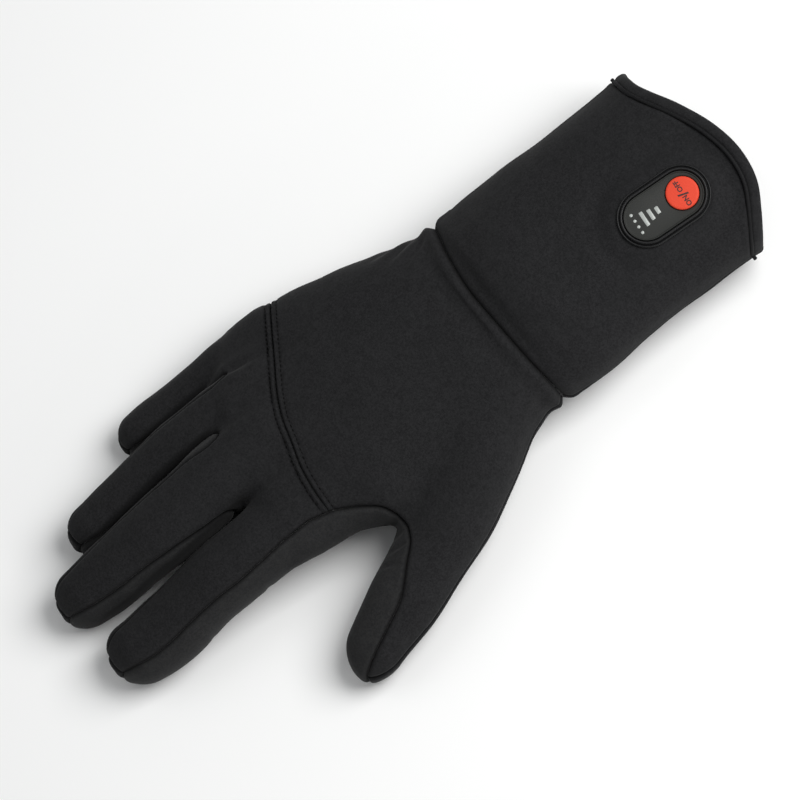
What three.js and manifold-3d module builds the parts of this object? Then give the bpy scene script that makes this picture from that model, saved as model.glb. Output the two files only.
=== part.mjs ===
// A right-hand heated glove liner with a long cuff, lying palm down as if it were worn.
// Millimetres. +Y points along the fingers, the thumb is on the -X side, +Z is up from the surface it lies on.
// It is drawn with the middle of the wrist seam at the origin, and moved to its box at the end.

import * as THREE from 'three'
import { mergeVertices } from 'three/addons/utils/BufferGeometryUtils.js'
import Module from 'manifold-3d'

const wasm = await Module()
wasm.setup()

// Cloth
const wall = 2.4 // padded softshell with its fleece
const seamGap = 0.3 // between two panels, and under whatever is sewn or clipped on
const press = 0.5 // how far the cloth is flattened where the fingers rest
const cuffPress = 1.6 // how far it is flattened under the cuff

// Hand
const palmLength = 118 // wrist seam to the web between index and middle finger
const palmWidth = 92 // across the knuckles
const palmHeight = 40
const littleSideDrop = 8 // how much lower the little finger's side of the knuckles lies

// Cuff
const cuffLength = 91 // wrist seam to the straight end under the wrist
const cuffWidth = 85.8
const cuffHeight = 46
const cuffCentreX = -1.4
const hemReach = 17.2 // how far the back's curved end reaches past the ends of its piping
const hemStart = 85.6 // wrist seam to the ends of the piping
const hemBand = 4.9 // the band past the piping
const pipingBead = 1.5
const pipingShare = 0.995 // how much of the way between the side seams it lies on the cloth
const pipingEnd = 1.5 // how far the piping stands out past the side seams
const backFacing = THREE.MathUtils.degToRad(22) // the back of the glove faces up and towards the thumb

// Control module
const moduleLength = 37.6
const moduleWidth = 22.6
const moduleLean = THREE.MathUtils.degToRad(-4)
const moduleCentre = { across: -6.9, along: -71.7 } // as seen square to the back of the glove
const bezelWidth = 2.3
const bezelHeight = 2.2
const bezelGroove = 0.5
const padRise = 0.9 // the soft rise of the cloth under the module
const padMargin = 6
const padTopMargin = 1
const padRoot = 2.16 // how deep the rise goes into the cloth
const panelThickness = 1.6
const panelRim = 0.4
const buttonDiameter = 12.4
const buttonFromEnd = 10.6 // the module's end to the button's centre
const buttonHeight = 2
const buttonTravel = 0.6
const markHeight = 0.9
const markStand = 0.1
const barLengths = [7.1, 5.5, 4]
const barWidth = 2.4
const barPitch = 3.0
const barFromEnd = 10.2 // the module's far end to the first bar's centre
const dotDiameter = 1.6
const dotPitch = 2.55
const dotFromEnd = 6.8

// Roundness of the sections: 2 is an ellipse and more is boxier
const handFullness = 2.35
const tubeFullness = 2.15

// Smoothness of the faceted walls
const digitSides = 12
const bodySides = 24
const hollowDigitSides = 8
const hollowBodySides = 20

const tipTurns = [0, 34, 61, 82] // degrees round a fingertip
const tipRoundness = 0.9
const tipDrop = 0.25 // how far a fingertip's narrowing sections sink, as a share of what they lose
const markSides = 8
const buttonSides = 24
const pillSegments = 7
const pipingSteps = 24
const pipingSides = 8
const simplifying = 0.01 // the smallest step that a faceted wall keeps

const black = { color: 0x262627, roughness: 0.92, metalness: 0 }
const side = { color: 0x303031, roughness: 0.95, metalness: 0 }
const cord = { color: 0x141415, roughness: 0.6, metalness: 0 }
const rubber = { color: 0x101010, roughness: 0.5, metalness: 0 }
const plate = { color: 0x3a3a38, roughness: 0.55, metalness: 0 }
const red = { color: 0xe8503a, roughness: 0.45, metalness: 0 }
const pale = { color: 0xd7dcd7, roughness: 0.4, metalness: 0 }

// The body of the hand. near and far are how far a section's thumb side and little side lie from the wrist seam,
// as shares of palmLength. left and right are shares of palmWidth, low and high of palmHeight, drop of littleSideDrop.
const handSections = [
  { near: -0.04, far: -0.04, left: -0.458, right: 0.452, low: 0.005, high: 1.0, drop: 0 },
  { near: 0.06, far: 0.06, left: -0.467, right: 0.478, low: -0.03, high: 1.0, drop: 0.05 },
  { near: 0.19, far: 0.19, left: -0.467, right: 0.518, low: -0.025, high: 1.0, drop: 0.15 },
  { near: 0.37, far: 0.35, left: -0.467, right: 0.59, low: 0.02, high: 1.0, drop: 0.35 },
  { near: 0.54, far: 0.47, left: -0.475, right: 0.637, low: 0.06, high: 0.99, drop: 0.55 },
  { near: 0.64, far: 0.54, left: -0.47, right: 0.652, low: 0.09, high: 0.98, drop: 0.7 },
  { near: 0.695, far: 0.58, left: -0.42, right: 0.657, low: 0.11, high: 0.97, drop: 0.8 },
  { near: 0.76, far: 0.61, left: -0.375, right: 0.662, low: 0.13, high: 0.96, drop: 0.9 },
  { near: 0.84, far: 0.64, left: -0.35, right: 0.668, low: 0.17, high: 0.945, drop: 1 },
  { near: 0.93, far: 0.68, left: -0.337, right: 0.672, low: 0.22, high: 0.9, drop: 1 },
  { near: 1.0, far: 0.72, left: -0.325, right: 0.67, low: 0.38, high: 0.74, drop: 1 }
]

// The cuff. along is a share of cuffLength back from the wrist seam, wide and shift are shares of cuffWidth, and
// tall is a share of its height before the cloth is flattened.
const cuffSections = [
  { along: -0.06, wide: 0.945, tall: 0.865, shift: 0.012 },
  { along: -0.01, wide: 0.965, tall: 0.885, shift: 0.01 },
  { along: 0.025, wide: 0.99, tall: 0.95, shift: 0.005 },
  { along: 0.08, wide: 1.005, tall: 0.985, shift: 0 },
  { along: 0.4, wide: 0.995, tall: 1, shift: 0 },
  { along: 0.8, wide: 1, tall: 1, shift: 0.002 },
  { along: 1.3, wide: 1.014, tall: 1, shift: 0.006 }
]

// Fingers and thumb. root is where the digit leaves the palm, as shares of palmWidth and palmLength. In a row, along
// is a share of length, aside of width (towards the little finger), rise of arch, wide of width and deep of depth.
const digits = {
  index: {
    root: { x: -0.172, y: 0.81 },
    heading: 0,
    length: 98.6,
    width: 27.4,
    depth: 24.8,
    arch: 9.6,
    tipLength: 10.5,
    rows: [
      { along: 0, aside: 0, rise: 1, wide: 1.06, deep: 1.03 },
      { along: 0.34, aside: -0.004, rise: 1, wide: 1.03, deep: 1.01 },
      { along: 0.48, aside: 0.018, rise: 0.82, wide: 1.0, deep: 1 },
      { along: 0.6, aside: 0.018, rise: 0.58, wide: 0.985, deep: 0.98 },
      { along: 0.74, aside: 0.004, rise: 0.28, wide: 1.01, deep: 0.96 },
      { along: 0.83, aside: 0.008, rise: 0.14, wide: 0.975, deep: 0.93 },
      { along: 1, aside: 0.09, rise: 0, wide: 0.88, deep: 0.86 }
    ]
  },
  middle: {
    root: { x: 0.158, y: 0.81 },
    heading: 0,
    length: 102.3,
    width: 27,
    depth: 25.2,
    arch: 12.3,
    tipLength: 10.5,
    rows: [
      { along: 0, aside: 0.04, rise: 0.98, wide: 1.04, deep: 1.03 },
      { along: 0.33, aside: -0.015, rise: 1, wide: 1.05, deep: 1.02 },
      { along: 0.46, aside: -0.035, rise: 0.94, wide: 1.035, deep: 1 },
      { along: 0.66, aside: -0.035, rise: 0.6, wide: 0.97, deep: 0.96 },
      { along: 0.74, aside: -0.02, rise: 0.42, wide: 0.965, deep: 0.945 },
      { along: 0.81, aside: 0, rise: 0.25, wide: 0.92, deep: 0.92 },
      { along: 0.89, aside: 0.035, rise: 0.1, wide: 0.87, deep: 0.88 },
      { along: 1, aside: 0.09, rise: 0, wide: 0.83, deep: 0.84 }
    ]
  },
  ring: {
    root: { x: 0.395, y: 0.72 },
    heading: 0,
    length: 93.6,
    width: 20.8,
    depth: 23.2,
    arch: 10,
    tipLength: 9.5,
    rows: [
      { along: 0, aside: 0, rise: 1, wide: 1, deep: 1.02 },
      { along: 0.35, aside: 0.018, rise: 0.82, wide: 1, deep: 1 },
      { along: 0.48, aside: 0.025, rise: 0.6, wide: 0.99, deep: 1 },
      { along: 0.62, aside: 0.01, rise: 0.34, wide: 0.975, deep: 0.99 },
      { along: 0.75, aside: -0.02, rise: 0.12, wide: 0.965, deep: 0.98 },
      { along: 0.9, aside: -0.025, rise: 0.02, wide: 0.92, deep: 0.93 },
      { along: 1, aside: 0.02, rise: 0, wide: 0.88, deep: 0.88 }
    ]
  },
  little: {
    root: { x: 0.563, y: 0.62 },
    heading: 0,
    length: 69,
    width: 17.6,
    depth: 19,
    arch: 5.4,
    tipLength: 8.5,
    rows: [
      { along: 0, aside: -0.06, rise: 1, wide: 1.0, deep: 1.04 },
      { along: 0.3, aside: 0.04, rise: 0.7, wide: 1.1, deep: 1.08 },
      { along: 0.46, aside: 0.1, rise: 0.45, wide: 1.05, deep: 1.02 },
      { along: 0.65, aside: 0.16, rise: 0.14, wide: 1, deep: 0.99 },
      { along: 0.78, aside: 0.17, rise: 0.04, wide: 0.985, deep: 0.97 },
      { along: 0.87, aside: 0.17, rise: 0, wide: 0.95, deep: 0.95 },
      { along: 1, aside: 0.19, rise: 0, wide: 0.9, deep: 0.9 }
    ]
  },
  thumb: {
    root: { x: -0.26, y: 0.07 },
    heading: 23.7,
    length: 127.2,
    width: 28.6,
    depth: 25,
    arch: 3.6,
    tipLength: 12,
    rows: [
      { along: 0, aside: 0, rise: 0.6, wide: 1.0, deep: 1.34 },
      { along: 0.3, aside: -0.07, rise: 0.9, wide: 1.13, deep: 1.26 },
      { along: 0.44, aside: -0.105, rise: 1, wide: 1.14, deep: 1.15 },
      { along: 0.56, aside: -0.12, rise: 1, wide: 1.07, deep: 1.06 },
      { along: 0.66, aside: -0.11, rise: 0.9, wide: 1.0, deep: 1.01 },
      { along: 0.76, aside: -0.075, rise: 0.65, wide: 0.95, deep: 0.97 },
      { along: 0.9, aside: -0.005, rise: 0.2, wide: 0.83, deep: 0.88 },
      { along: 1, aside: 0.03, rise: 0, wide: 0.76, deep: 0.8 }
    ]
  }
}

// Where each side strip's seams run on a digit, as shares of its half width from its centre line
const stripSeams = {
  index: { near: -0.62, far: 0.72 },
  middle: { near: -0.7, far: 0.68 },
  ring: { near: -0.58, far: 0.62 },
  little: { near: -0.45 },
  thumb: { far: -0.12, farAtTip: -0.42 }
}

// The web of each side strip. across runs from 0 at the one digit's seam to 1 at the other's, as they leave the
// palm, or is x, a share of palmWidth, at the thumb's wide crotch, and y is a share of palmLength.
const webs = {
  indexMiddle: [
    { across: -0.10, y: 0.95 },
    { across: 0.03, y: 0.9 },
    { across: 0.32, y: 0.875 },
    { across: 0.73, y: 0.875 },
    { across: 1.02, y: 0.9 },
    { across: 1.11, y: 0.95 }
  ],
  middleRing: [
    { across: -0.31, y: 0.92 },
    { across: -0.10, y: 0.875 },
    { across: 0.42, y: 0.855 },
    { across: 0.90, y: 0.875 },
    { across: 1.08, y: 0.92 }
  ],
  ringLittle: [
    { across: 0.07, y: 0.81 },
    { across: 0.25, y: 0.77 },
    { across: 0.80, y: 0.75 },
    { across: 1.36, y: 0.77 }
  ],
  thumbIndex: [
    { x: -0.315, y: 0.79 },
    { x: -0.37, y: 0.703 },
    { x: -0.441, y: 0.642 },
    { x: -0.524, y: 0.615 },
    { x: -0.601, y: 0.642 }
  ]
}

// Seams across the back, seen square to it: across is a share of palmWidth, along of palmLength
const knuckleSeam = [
  { across: -0.4, along: 1.7 },
  { across: -0.38, along: 0.9 },
  { across: -0.34, along: 0.81 },
  { across: -0.22, along: 0.808 },
  { across: -0.1, along: 0.804 },
  { across: 0, along: 0.792 },
  { across: 0.1, along: 0.768 },
  { across: 0.2, along: 0.745 },
  { across: 0.3, along: 0.706 },
  { across: 0.4, along: 0.655 },
  { across: 0.5, along: 0.604 },
  { across: 0.6, along: 0.55 },
  { across: 0.72, along: 0.48 }
]
const wristSeam = [
  { across: -0.75, along: 0.006 },
  { across: -0.44, along: 0.012 },
  { across: -0.2, along: 0.027 },
  { across: 0, along: 0.035 },
  { across: 0.15, along: 0.038 },
  { across: 0.3, along: 0.024 },
  { across: 0.44, along: 0 },
  { across: 0.75, along: -0.02 }
]

// The curved end of the cuff's back: around runs from -1 at the thumb-side seam to 1 at the other, reach is a share
// of hemReach
const hemCurve = [
  { around: -1, reach: 0 },
  { around: -0.865, reach: 0.24 },
  { around: -0.68, reach: 0.565 },
  { around: -0.455, reach: 0.885 },
  { around: -0.18, reach: 1 },
  { around: 0.115, reach: 0.915 },
  { around: 0.455, reach: 0.62 },
  { around: 0.685, reach: 0.32 },
  { around: 0.84, reach: 0.105 },
  { around: 1, reach: 0 }
]

// Height of the seam between back and palm, as shares of palmHeight, by place along the hand (share of palmLength):
// under the thumb's outer edge, between the fingers, and on the little finger's side
const sideSeam = [
  { along: -0.3, thumb: 0.45, middle: 0.52, little: 0.5 },
  { along: 0.05, thumb: 0.45, middle: 0.52, little: 0.5 },
  { along: 0.4, thumb: 0.4, middle: 0.54, little: 0.42 },
  { along: 0.7, thumb: 0.36, middle: 0.56, little: 0.32 },
  { along: 0.95, thumb: 0.28, middle: 0.56, little: 0.26 },
  { along: 1.1, thumb: 0.26, middle: 0.54, little: 0.23 },
  { along: 1.3, thumb: 0.26, middle: 0.44, little: 0.23 },
  { along: 1.45, thumb: 0.26, middle: 0.34, little: 0.23 },
  { along: 1.56, thumb: 0.26, middle: 0.28, little: 0.23 },
  { along: 1.8, thumb: 0.26, middle: 0.26, little: 0.23 }
]

const far = 400
const pastTips = 20

// Joining and cutting

function toSolid(geometry) {
  const bare = geometry.clone()
  bare.deleteAttribute('normal')
  bare.deleteAttribute('uv')
  const merged = mergeVertices(bare, 1e-4)
  const mesh = new wasm.Mesh({
    numProp: 3,
    vertProperties: Float32Array.from(merged.attributes.position.array),
    triVerts: Uint32Array.from(merged.index.array)
  })
  return new wasm.Manifold(mesh)
}

function toMesh(name, solid, finish) {
  const { vertProperties, triVerts } = solid.simplify(simplifying).getMesh()
  const geometry = new THREE.BufferGeometry()
  geometry.setAttribute('position', new THREE.BufferAttribute(vertProperties, 3))
  geometry.setIndex(new THREE.BufferAttribute(triVerts, 1))
  const mesh = new THREE.Mesh(geometry, new THREE.MeshStandardMaterial(finish))
  mesh.name = name
  return mesh
}

function joined(solids) {
  return solids.reduce((sum, next) => sum.add(next))
}

// A closed solid through rings of points that all have the same number, with a fan over each end
function loft(rings) {
  const count = rings[0].length
  const points = rings.flat()
  const faces = []
  for (let row = 0; row < rings.length - 1; row++) {
    for (let k = 0; k < count; k++) {
      const a = row * count + k
      const b = row * count + ((k + 1) % count)
      faces.push(a, b, b + count, a, b + count, a + count)
    }
  }
  const middles = [rings[0], rings[rings.length - 1]].map(middleOf)
  const first = points.length
  const lastRow = (rings.length - 1) * count
  for (let k = 0; k < count; k++) {
    faces.push(first, (k + 1) % count, k)
    faces.push(first + 1, lastRow + k, lastRow + ((k + 1) % count))
  }
  const geometry = new THREE.BufferGeometry().setFromPoints([...points, ...middles])
  geometry.setIndex(faces)
  const solid = toSolid(geometry)
  return solid.volume() > 0 ? solid : toSolid(flipped(geometry))
}

function flipped(geometry) {
  const faces = Array.from(geometry.index.array)
  const turned = geometry.clone()
  turned.setIndex(faces.map((_, i) => faces[i - (i % 3) + [0, 2, 1][i % 3]]))
  return turned
}

function middleOf(ring) {
  return ring.reduce((sum, p) => sum.add(p), new THREE.Vector3()).divideScalar(ring.length)
}

// A point at an angle on a rounded section, fullness 2 being an ellipse and more being boxier
function roundedPoint(angle, halfWide, halfTall, fullness) {
  const c = Math.cos(angle)
  const s = Math.sin(angle)
  const power = 2 / fullness
  return { x: halfWide * Math.sign(c) * Math.abs(c) ** power, z: halfTall * Math.sign(s) * Math.abs(s) ** power }
}

function angles(sides) {
  return Array.from({ length: sides }, (_, k) => (2 * Math.PI * k) / sides)
}

// Outer and inner walls; inset is 0 for the outside and the wall's thickness for the hollow

function handSolid(inset) {
  const rings = handSections.map((row) => {
    const halfWide = ((row.right - row.left) * palmWidth) / 2 - inset
    const middleX = ((row.right + row.left) * palmWidth) / 2
    const halfTall = ((row.high - row.low) * palmHeight) / 2 - inset
    const middleZ = ((row.high + row.low) * palmHeight) / 2
    return angles(inset > 0 ? hollowBodySides : bodySides).map((angle) => {
      const p = roundedPoint(angle, halfWide, halfTall, handFullness)
      const share = (p.x / halfWide + 1) / 2
      const fall = (row.far - row.near) * share ** 4
      const y = (row.near + fall) * palmLength - inset * smooth(row.near, 0.8, 1)
      const z = middleZ + p.z - littleSideDrop * row.drop * share ** 2
      return new THREE.Vector3(middleX + p.x, y, Math.max(z, inset))
    })
  })
  return loft(rings)
}

function smooth(value, low, high) {
  return THREE.MathUtils.smoothstep(value, low, high)
}

// The centre line and half sizes of a digit at a share of its length
function digitStation(digit, along) {
  const rows = digit.rows
  const at = Math.max(1, rows.findIndex((row) => row.along >= along))
  const [a, b] = [rows[at - 1], rows[at]]
  const t = (along - a.along) / (b.along - a.along)
  const mix = (key) => THREE.MathUtils.lerp(a[key], b[key], t)
  const heading = THREE.MathUtils.degToRad(digit.heading)
  const aside = mix('aside') * digit.width
  const reach = along * digit.length
  const halfDeep = (mix('deep') * digit.depth) / 2
  return {
    x: digit.root.x * palmWidth - Math.sin(heading) * reach + Math.cos(heading) * aside,
    y: digit.root.y * palmLength + Math.cos(heading) * reach + Math.sin(heading) * aside,
    z: halfDeep - press + mix('rise') * digit.arch,
    halfWide: (mix('wide') * digit.width) / 2,
    halfDeep,
    heading
  }
}

function digitSolid(digit, inset) {
  const tipStart = 1 - digit.tipLength / digit.length
  const body = digit.rows.filter((row) => row.along < tipStart - 0.02)
  const stations = body.map((row) => ({ ...digitStation(digit, row.along), scale: 1 }))
  for (const turn of tipTurns) {
    const angle = THREE.MathUtils.degToRad(turn)
    const reach = (digit.tipLength - inset) * Math.sin(angle)
    const station = digitStation(digit, tipStart + reach / digit.length)
    stations.push({ ...station, scale: Math.cos(angle) ** tipRoundness })
  }
  const sides = inset > 0 ? hollowDigitSides : digitSides
  const rings = stations.map((s) => angles(sides).map((angle) => {
    const p = roundedPoint(angle, (s.halfWide - inset) * s.scale, (s.halfDeep - inset) * s.scale, tubeFullness)
    const x = s.x + Math.cos(s.heading) * p.x
    const y = s.y + Math.sin(s.heading) * p.x
    const z = Math.max(s.z + p.z - (s.halfDeep - inset) * (1 - s.scale) * tipDrop, inset)
    return new THREE.Vector3(x, y, z)
  }))
  return loft(rings)
}

function cuffPoint(row, angle, inset) {
  const halfWide = (row.wide * cuffWidth) / 2 - inset
  const halfTall = (row.tall * (cuffHeight + cuffPress)) / 2 - inset
  const p = roundedPoint(angle, halfWide, halfTall, tubeFullness)
  const x = cuffCentreX + row.shift * cuffWidth + p.x
  return new THREE.Vector3(x, -row.along * cuffLength, Math.max(halfTall + inset - cuffPress + p.z, inset))
}

function cuffSolid(inset) {
  const sides = inset > 0 ? hollowBodySides : bodySides
  return loft(cuffSections.map((row) => angles(sides).map((angle) => cuffPoint(row, angle, inset))))
}

// The frame in which the back of the glove is seen square on: across, along and up from the back

const backMiddle = palmHeight / 2

function prism(points) {
  const shape = new THREE.Shape(points.map((p) => new THREE.Vector2(p.x, p.y)))
  const geometry = new THREE.ExtrudeGeometry(shape, { depth: far, bevelEnabled: false, curveSegments: 1 })
  geometry.translate(0, 0, -far / 2)
  return geometry
}

function backPrism(points) {
  const geometry = prism(points)
  geometry.rotateY(-backFacing)
  geometry.translate(0, 0, backMiddle)
  return toSolid(geometry)
}

function planPrism(points) {
  return toSolid(prism(points))
}

// A line moved sideways, to the right of the way that it runs
function offsetLine(points, distance) {
  return points.map((p, i) => {
    const before = points[Math.max(0, i - 1)]
    const after = points[Math.min(points.length - 1, i + 1)]
    const way = new THREE.Vector2(after.x - before.x, after.y - before.y).normalize()
    return { x: p.x + way.y * distance, y: p.y - way.x * distance }
  })
}

// What lies past a seam line across the back (towards the fingers) or short of it
function seamRegion(line, towards, distance) {
  const points = line.map((p) => ({ x: p.across * palmWidth, y: p.along * palmLength }))
  const edge = offsetLine(points, -towards * distance)
  const first = edge[0]
  const last = edge[edge.length - 1]
  const outer = [
    { x: far, y: last.y },
    { x: far, y: towards * far },
    { x: -far, y: towards * far },
    { x: -far, y: first.y }
  ]
  return backPrism([...edge, ...outer])
}

// Everything above (1) or below (-1) the seam between back and palm

function sideSeamHeight(x, y) {
  const along = y / palmLength
  const at = Math.min(sideSeam.length - 1, Math.max(1, sideSeam.findIndex((row) => row.along >= along)))
  const [a, b] = [sideSeam[at - 1], sideSeam[at]]
  const t = THREE.MathUtils.clamp((along - a.along) / (b.along - a.along), 0, 1)
  const mix = (key) => THREE.MathUtils.lerp(a[key], b[key], t)
  const toThumb = smooth(-x / palmWidth, 0.36, 0.5)
  const toLittle = smooth(x / palmWidth, 0.4, 0.6)
  const share = mix('middle') + (mix('thumb') - mix('middle')) * toThumb + (mix('little') - mix('middle')) * toLittle
  return share * palmHeight
}

function sideSeamRegion(towards, distance) {
  const across = [-4, -0.5, -0.45, -0.4, -0.36, 0, 0.4, 0.45, 0.5, 0.55, 0.6, 4]
  const alongs = [-3, ...sideSeam.map((row) => row.along), 5]
  const rings = alongs.map((along) => {
    const edge = across.map((share) => {
      const [x, y] = [share * palmWidth, along * palmLength]
      return new THREE.Vector3(x, y, sideSeamHeight(x, y) + towards * distance)
    })
    const lid = [...edge].reverse().map((p) => new THREE.Vector3(p.x, p.y, towards * far))
    return [...edge, ...lid]
  })
  return loft(rings)
}

// A seam point on a digit, at a share of its half width
function seamPoint(digit, along, share) {
  const s = digitStation(digit, Math.min(along, 1))
  const past = Math.max(0, along - 1) * digit.length
  const reach = s.halfWide * share
  return {
    x: s.x + Math.cos(s.heading) * reach - Math.sin(s.heading) * past,
    y: s.y + Math.sin(s.heading) * reach + Math.cos(s.heading) * past
  }
}

// The seam up one side of a digit, from its web to past its tip, drawing in over the tip
function digitSeam(digit, share, shareAtTip = share) {
  const alongs = [0.34, 0.45, 0.56, 0.67, 0.77, 0.86]
  const points = alongs.map((along) => seamPoint(digit, along, THREE.MathUtils.lerp(share, shareAtTip, along)))
  points.push(seamPoint(digit, 0.93, shareAtTip * 0.8))
  points.push(seamPoint(digit, 0.98, shareAtTip * 0.5))
  points.push(seamPoint(digit, 1.06, shareAtTip * 0.35))
  return points
}

function webPoints(web) {
  return web.map((p) => ({ x: p.x * palmWidth, y: p.y * palmLength }))
}

function webBetween(web, digit, share, nextDigit, nextShare) {
  const from = seamPoint(digit, 0, share).x
  const to = seamPoint(nextDigit, 0, nextShare).x
  return web.map((p) => ({ x: THREE.MathUtils.lerp(from, to, p.across), y: p.y * palmLength }))
}

// The two regions of a side strip: what is cut from the shell, and what is left of it as the strip
function stripRegions(nearSeam, web, farSeam) {
  const line = [...nearSeam.reverse(), ...web, ...farSeam]
  const first = line[0]
  const last = line[line.length - 1]
  const top = Math.max(first.y, last.y) + pastTips
  const close = [
    { x: last.x, y: top },
    { x: first.x, y: top }
  ]
  return {
    cut: planPrism([...offsetLine(line, seamGap / 2), ...close]),
    strip: planPrism([...offsetLine(line, -seamGap / 2), ...close])
  }
}

// Shell of the hand

const handOuter = joined([handSolid(0), ...Object.values(digits).map((digit) => digitSolid(digit, 0))])
const handInner = joined([handSolid(wall), ...Object.values(digits).map((digit) => digitSolid(digit, wall))])
const towardsFingers = seamRegion(wristSeam, 1, seamGap / 2)
const handShell = handOuter.subtract(handInner).intersect(towardsFingers)

const strips = {
  fourchette_thumb_index: stripRegions(
    digitSeam(digits.thumb, stripSeams.thumb.far, stripSeams.thumb.farAtTip).slice(3),
    webPoints(webs.thumbIndex).reverse(),
    digitSeam(digits.index, stripSeams.index.near)
  ),
  fourchette_index_middle: stripRegions(
    digitSeam(digits.index, stripSeams.index.far),
    webBetween(webs.indexMiddle, digits.index, stripSeams.index.far, digits.middle, stripSeams.middle.near),
    digitSeam(digits.middle, stripSeams.middle.near)
  ),
  fourchette_middle_ring: stripRegions(
    digitSeam(digits.middle, stripSeams.middle.far),
    webBetween(webs.middleRing, digits.middle, stripSeams.middle.far, digits.ring, stripSeams.ring.near),
    digitSeam(digits.ring, stripSeams.ring.near)
  ),
  fourchette_ring_little: stripRegions(
    digitSeam(digits.ring, stripSeams.ring.far),
    webBetween(webs.ringLittle, digits.ring, stripSeams.ring.far, digits.little, stripSeams.little.near),
    digitSeam(digits.little, stripSeams.little.near).slice(1)
  )
}

let panels = handShell
for (const region of Object.values(strips)) panels = panels.subtract(region.cut)

const above = sideSeamRegion(1, seamGap / 2)
const below = sideSeamRegion(-1, seamGap / 2)
const back = panels.intersect(above)

const glove = new THREE.Group()
glove.add(toMesh('back_finger_panel', back.intersect(seamRegion(knuckleSeam, 1, seamGap / 2)), black))
glove.add(toMesh('back_hand_panel', back.intersect(seamRegion(knuckleSeam, -1, seamGap / 2)), black))
glove.add(toMesh('palm_panel', panels.intersect(below), black))
for (const [name, region] of Object.entries(strips)) {
  glove.add(toMesh(name, handShell.intersect(region.strip), side))
}

// Cuff. Its back ends along the curved hem, with the piping between it and the band.

const cuffHalf = Math.hypot((cuffWidth / 2) * Math.cos(backFacing), (cuffHeight / 2) * Math.sin(backFacing))
const cuffMiddle = cuffCentreX * Math.cos(backFacing) + (cuffHeight / 2 - backMiddle) * Math.sin(backFacing)

function hemLine(extra) {
  const row = (around, reach) => ({ x: cuffMiddle + around * cuffHalf, y: -hemStart - reach * hemReach - extra })
  return [row(-1.2, 0), ...hemCurve.map((p) => row(p.around, p.reach)), row(1.2, 0)]
}

function wristLine() {
  return wristSeam.map((p) => ({ x: p.across * palmWidth, y: p.along * palmLength }))
}

function between(nearEnd, farEnd) {
  return backPrism([...nearEnd, ...[...farEnd].reverse()])
}

function tiltedHalf(towards) {
  const half = new THREE.BoxGeometry(far, far, far)
  half.translate(0, 0, (towards * (far + seamGap)) / 2)
  half.rotateY(-cuffSeamTilt)
  half.translate(cuffCentreX, 0, cuffHeight / 2)
  return toSolid(half)
}

const cuffSeamTilt = Math.atan2(cuffHeight ** 2 * Math.tan(backFacing), cuffWidth ** 2)
const cuffStart = offsetLine(wristLine(), seamGap / 2)
const hemEdge = hemLine(0)
const cuffEnd = [
  { x: -far, y: -cuffLength },
  { x: far, y: -cuffLength }
]

// The module's own frame: its middle on the cuff, +Z out of the cloth, +Y towards the fingers

function cuffTop(x) {
  const p = (x - cuffCentreX) / (cuffWidth / 2)
  return cuffHeight / 2 + (cuffHeight / 2) * Math.sqrt(1 - p * p)
}

function moduleX() {
  let x = moduleCentre.across
  for (let turn = 0; turn < 20; turn++) {
    x = (moduleCentre.across - (cuffTop(x) - backMiddle) * Math.sin(backFacing)) / Math.cos(backFacing)
  }
  return x
}

const moduleAt = moduleX()
const moduleTilt = Math.atan2(cuffTop(moduleAt - 1) - cuffTop(moduleAt + 1), 2)
const controller = new THREE.Group()
controller.position.set(moduleAt, moduleCentre.along, cuffTop(moduleAt))
controller.rotation.set(0, moduleTilt, moduleLean, 'YZX')
controller.updateMatrix()

function pillShape(length, width) {
  const radius = width / 2
  const straight = length / 2 - radius
  const shape = new THREE.Shape()
  shape.absarc(0, straight, radius, 0, Math.PI, false)
  shape.absarc(0, -straight, radius, Math.PI, 2 * Math.PI, false)
  return shape
}

function pill(length, width, low, high) {
  const geometry = new THREE.ExtrudeGeometry(pillShape(length, width), {
    depth: high - low,
    bevelEnabled: false,
    curveSegments: pillSegments
  })
  geometry.translate(0, 0, low)
  return toSolid(geometry)
}

function pillRing(length, width, height) {
  return pillShape(length, width).getPoints(pillSegments - 1).slice(0, -1).map((p) => new THREE.Vector3(p.x, p.y, height))
}

function disc(radius, low, high, x, y) {
  const geometry = new THREE.CylinderGeometry(radius, radius, high - low, radius > dotDiameter ? buttonSides : markSides)
  geometry.rotateX(Math.PI / 2)
  geometry.translate(x, y, (high + low) / 2)
  return toSolid(geometry)
}

function bar(length, low, high, y, margin) {
  const geometry = new THREE.BoxGeometry(length + 2 * margin, barWidth + 2 * margin, high - low)
  geometry.translate(0, y, (high + low) / 2)
  return toSolid(geometry)
}

const pad = loft([
  pillRing(moduleLength + 2 * padMargin, moduleWidth + 2 * padMargin, -padRoot),
  pillRing(moduleLength + 2 * padTopMargin, moduleWidth + 2 * padTopMargin, padRise)
]).transform(controller.matrix.toArray())

const cuffShell = cuffSolid(0).add(pad).subtract(cuffSolid(wall))
const upperCuff = cuffShell.intersect(tiltedHalf(1))
const lowerCuff = cuffShell.intersect(tiltedHalf(-1))
const backEnd = offsetLine(hemEdge, -seamGap / 2)
const bandStart = offsetLine(hemEdge, seamGap / 2)
glove.add(toMesh('cuff_back', upperCuff.intersect(between(cuffStart, backEnd)), black))
glove.add(toMesh('cuff_hem_band', upperCuff.intersect(between(bandStart, hemLine(hemBand))), side))
glove.add(toMesh('cuff_palm', lowerCuff.intersect(between(cuffStart, cuffEnd)), black))

// Control module, from its seat on the pad upwards

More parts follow.
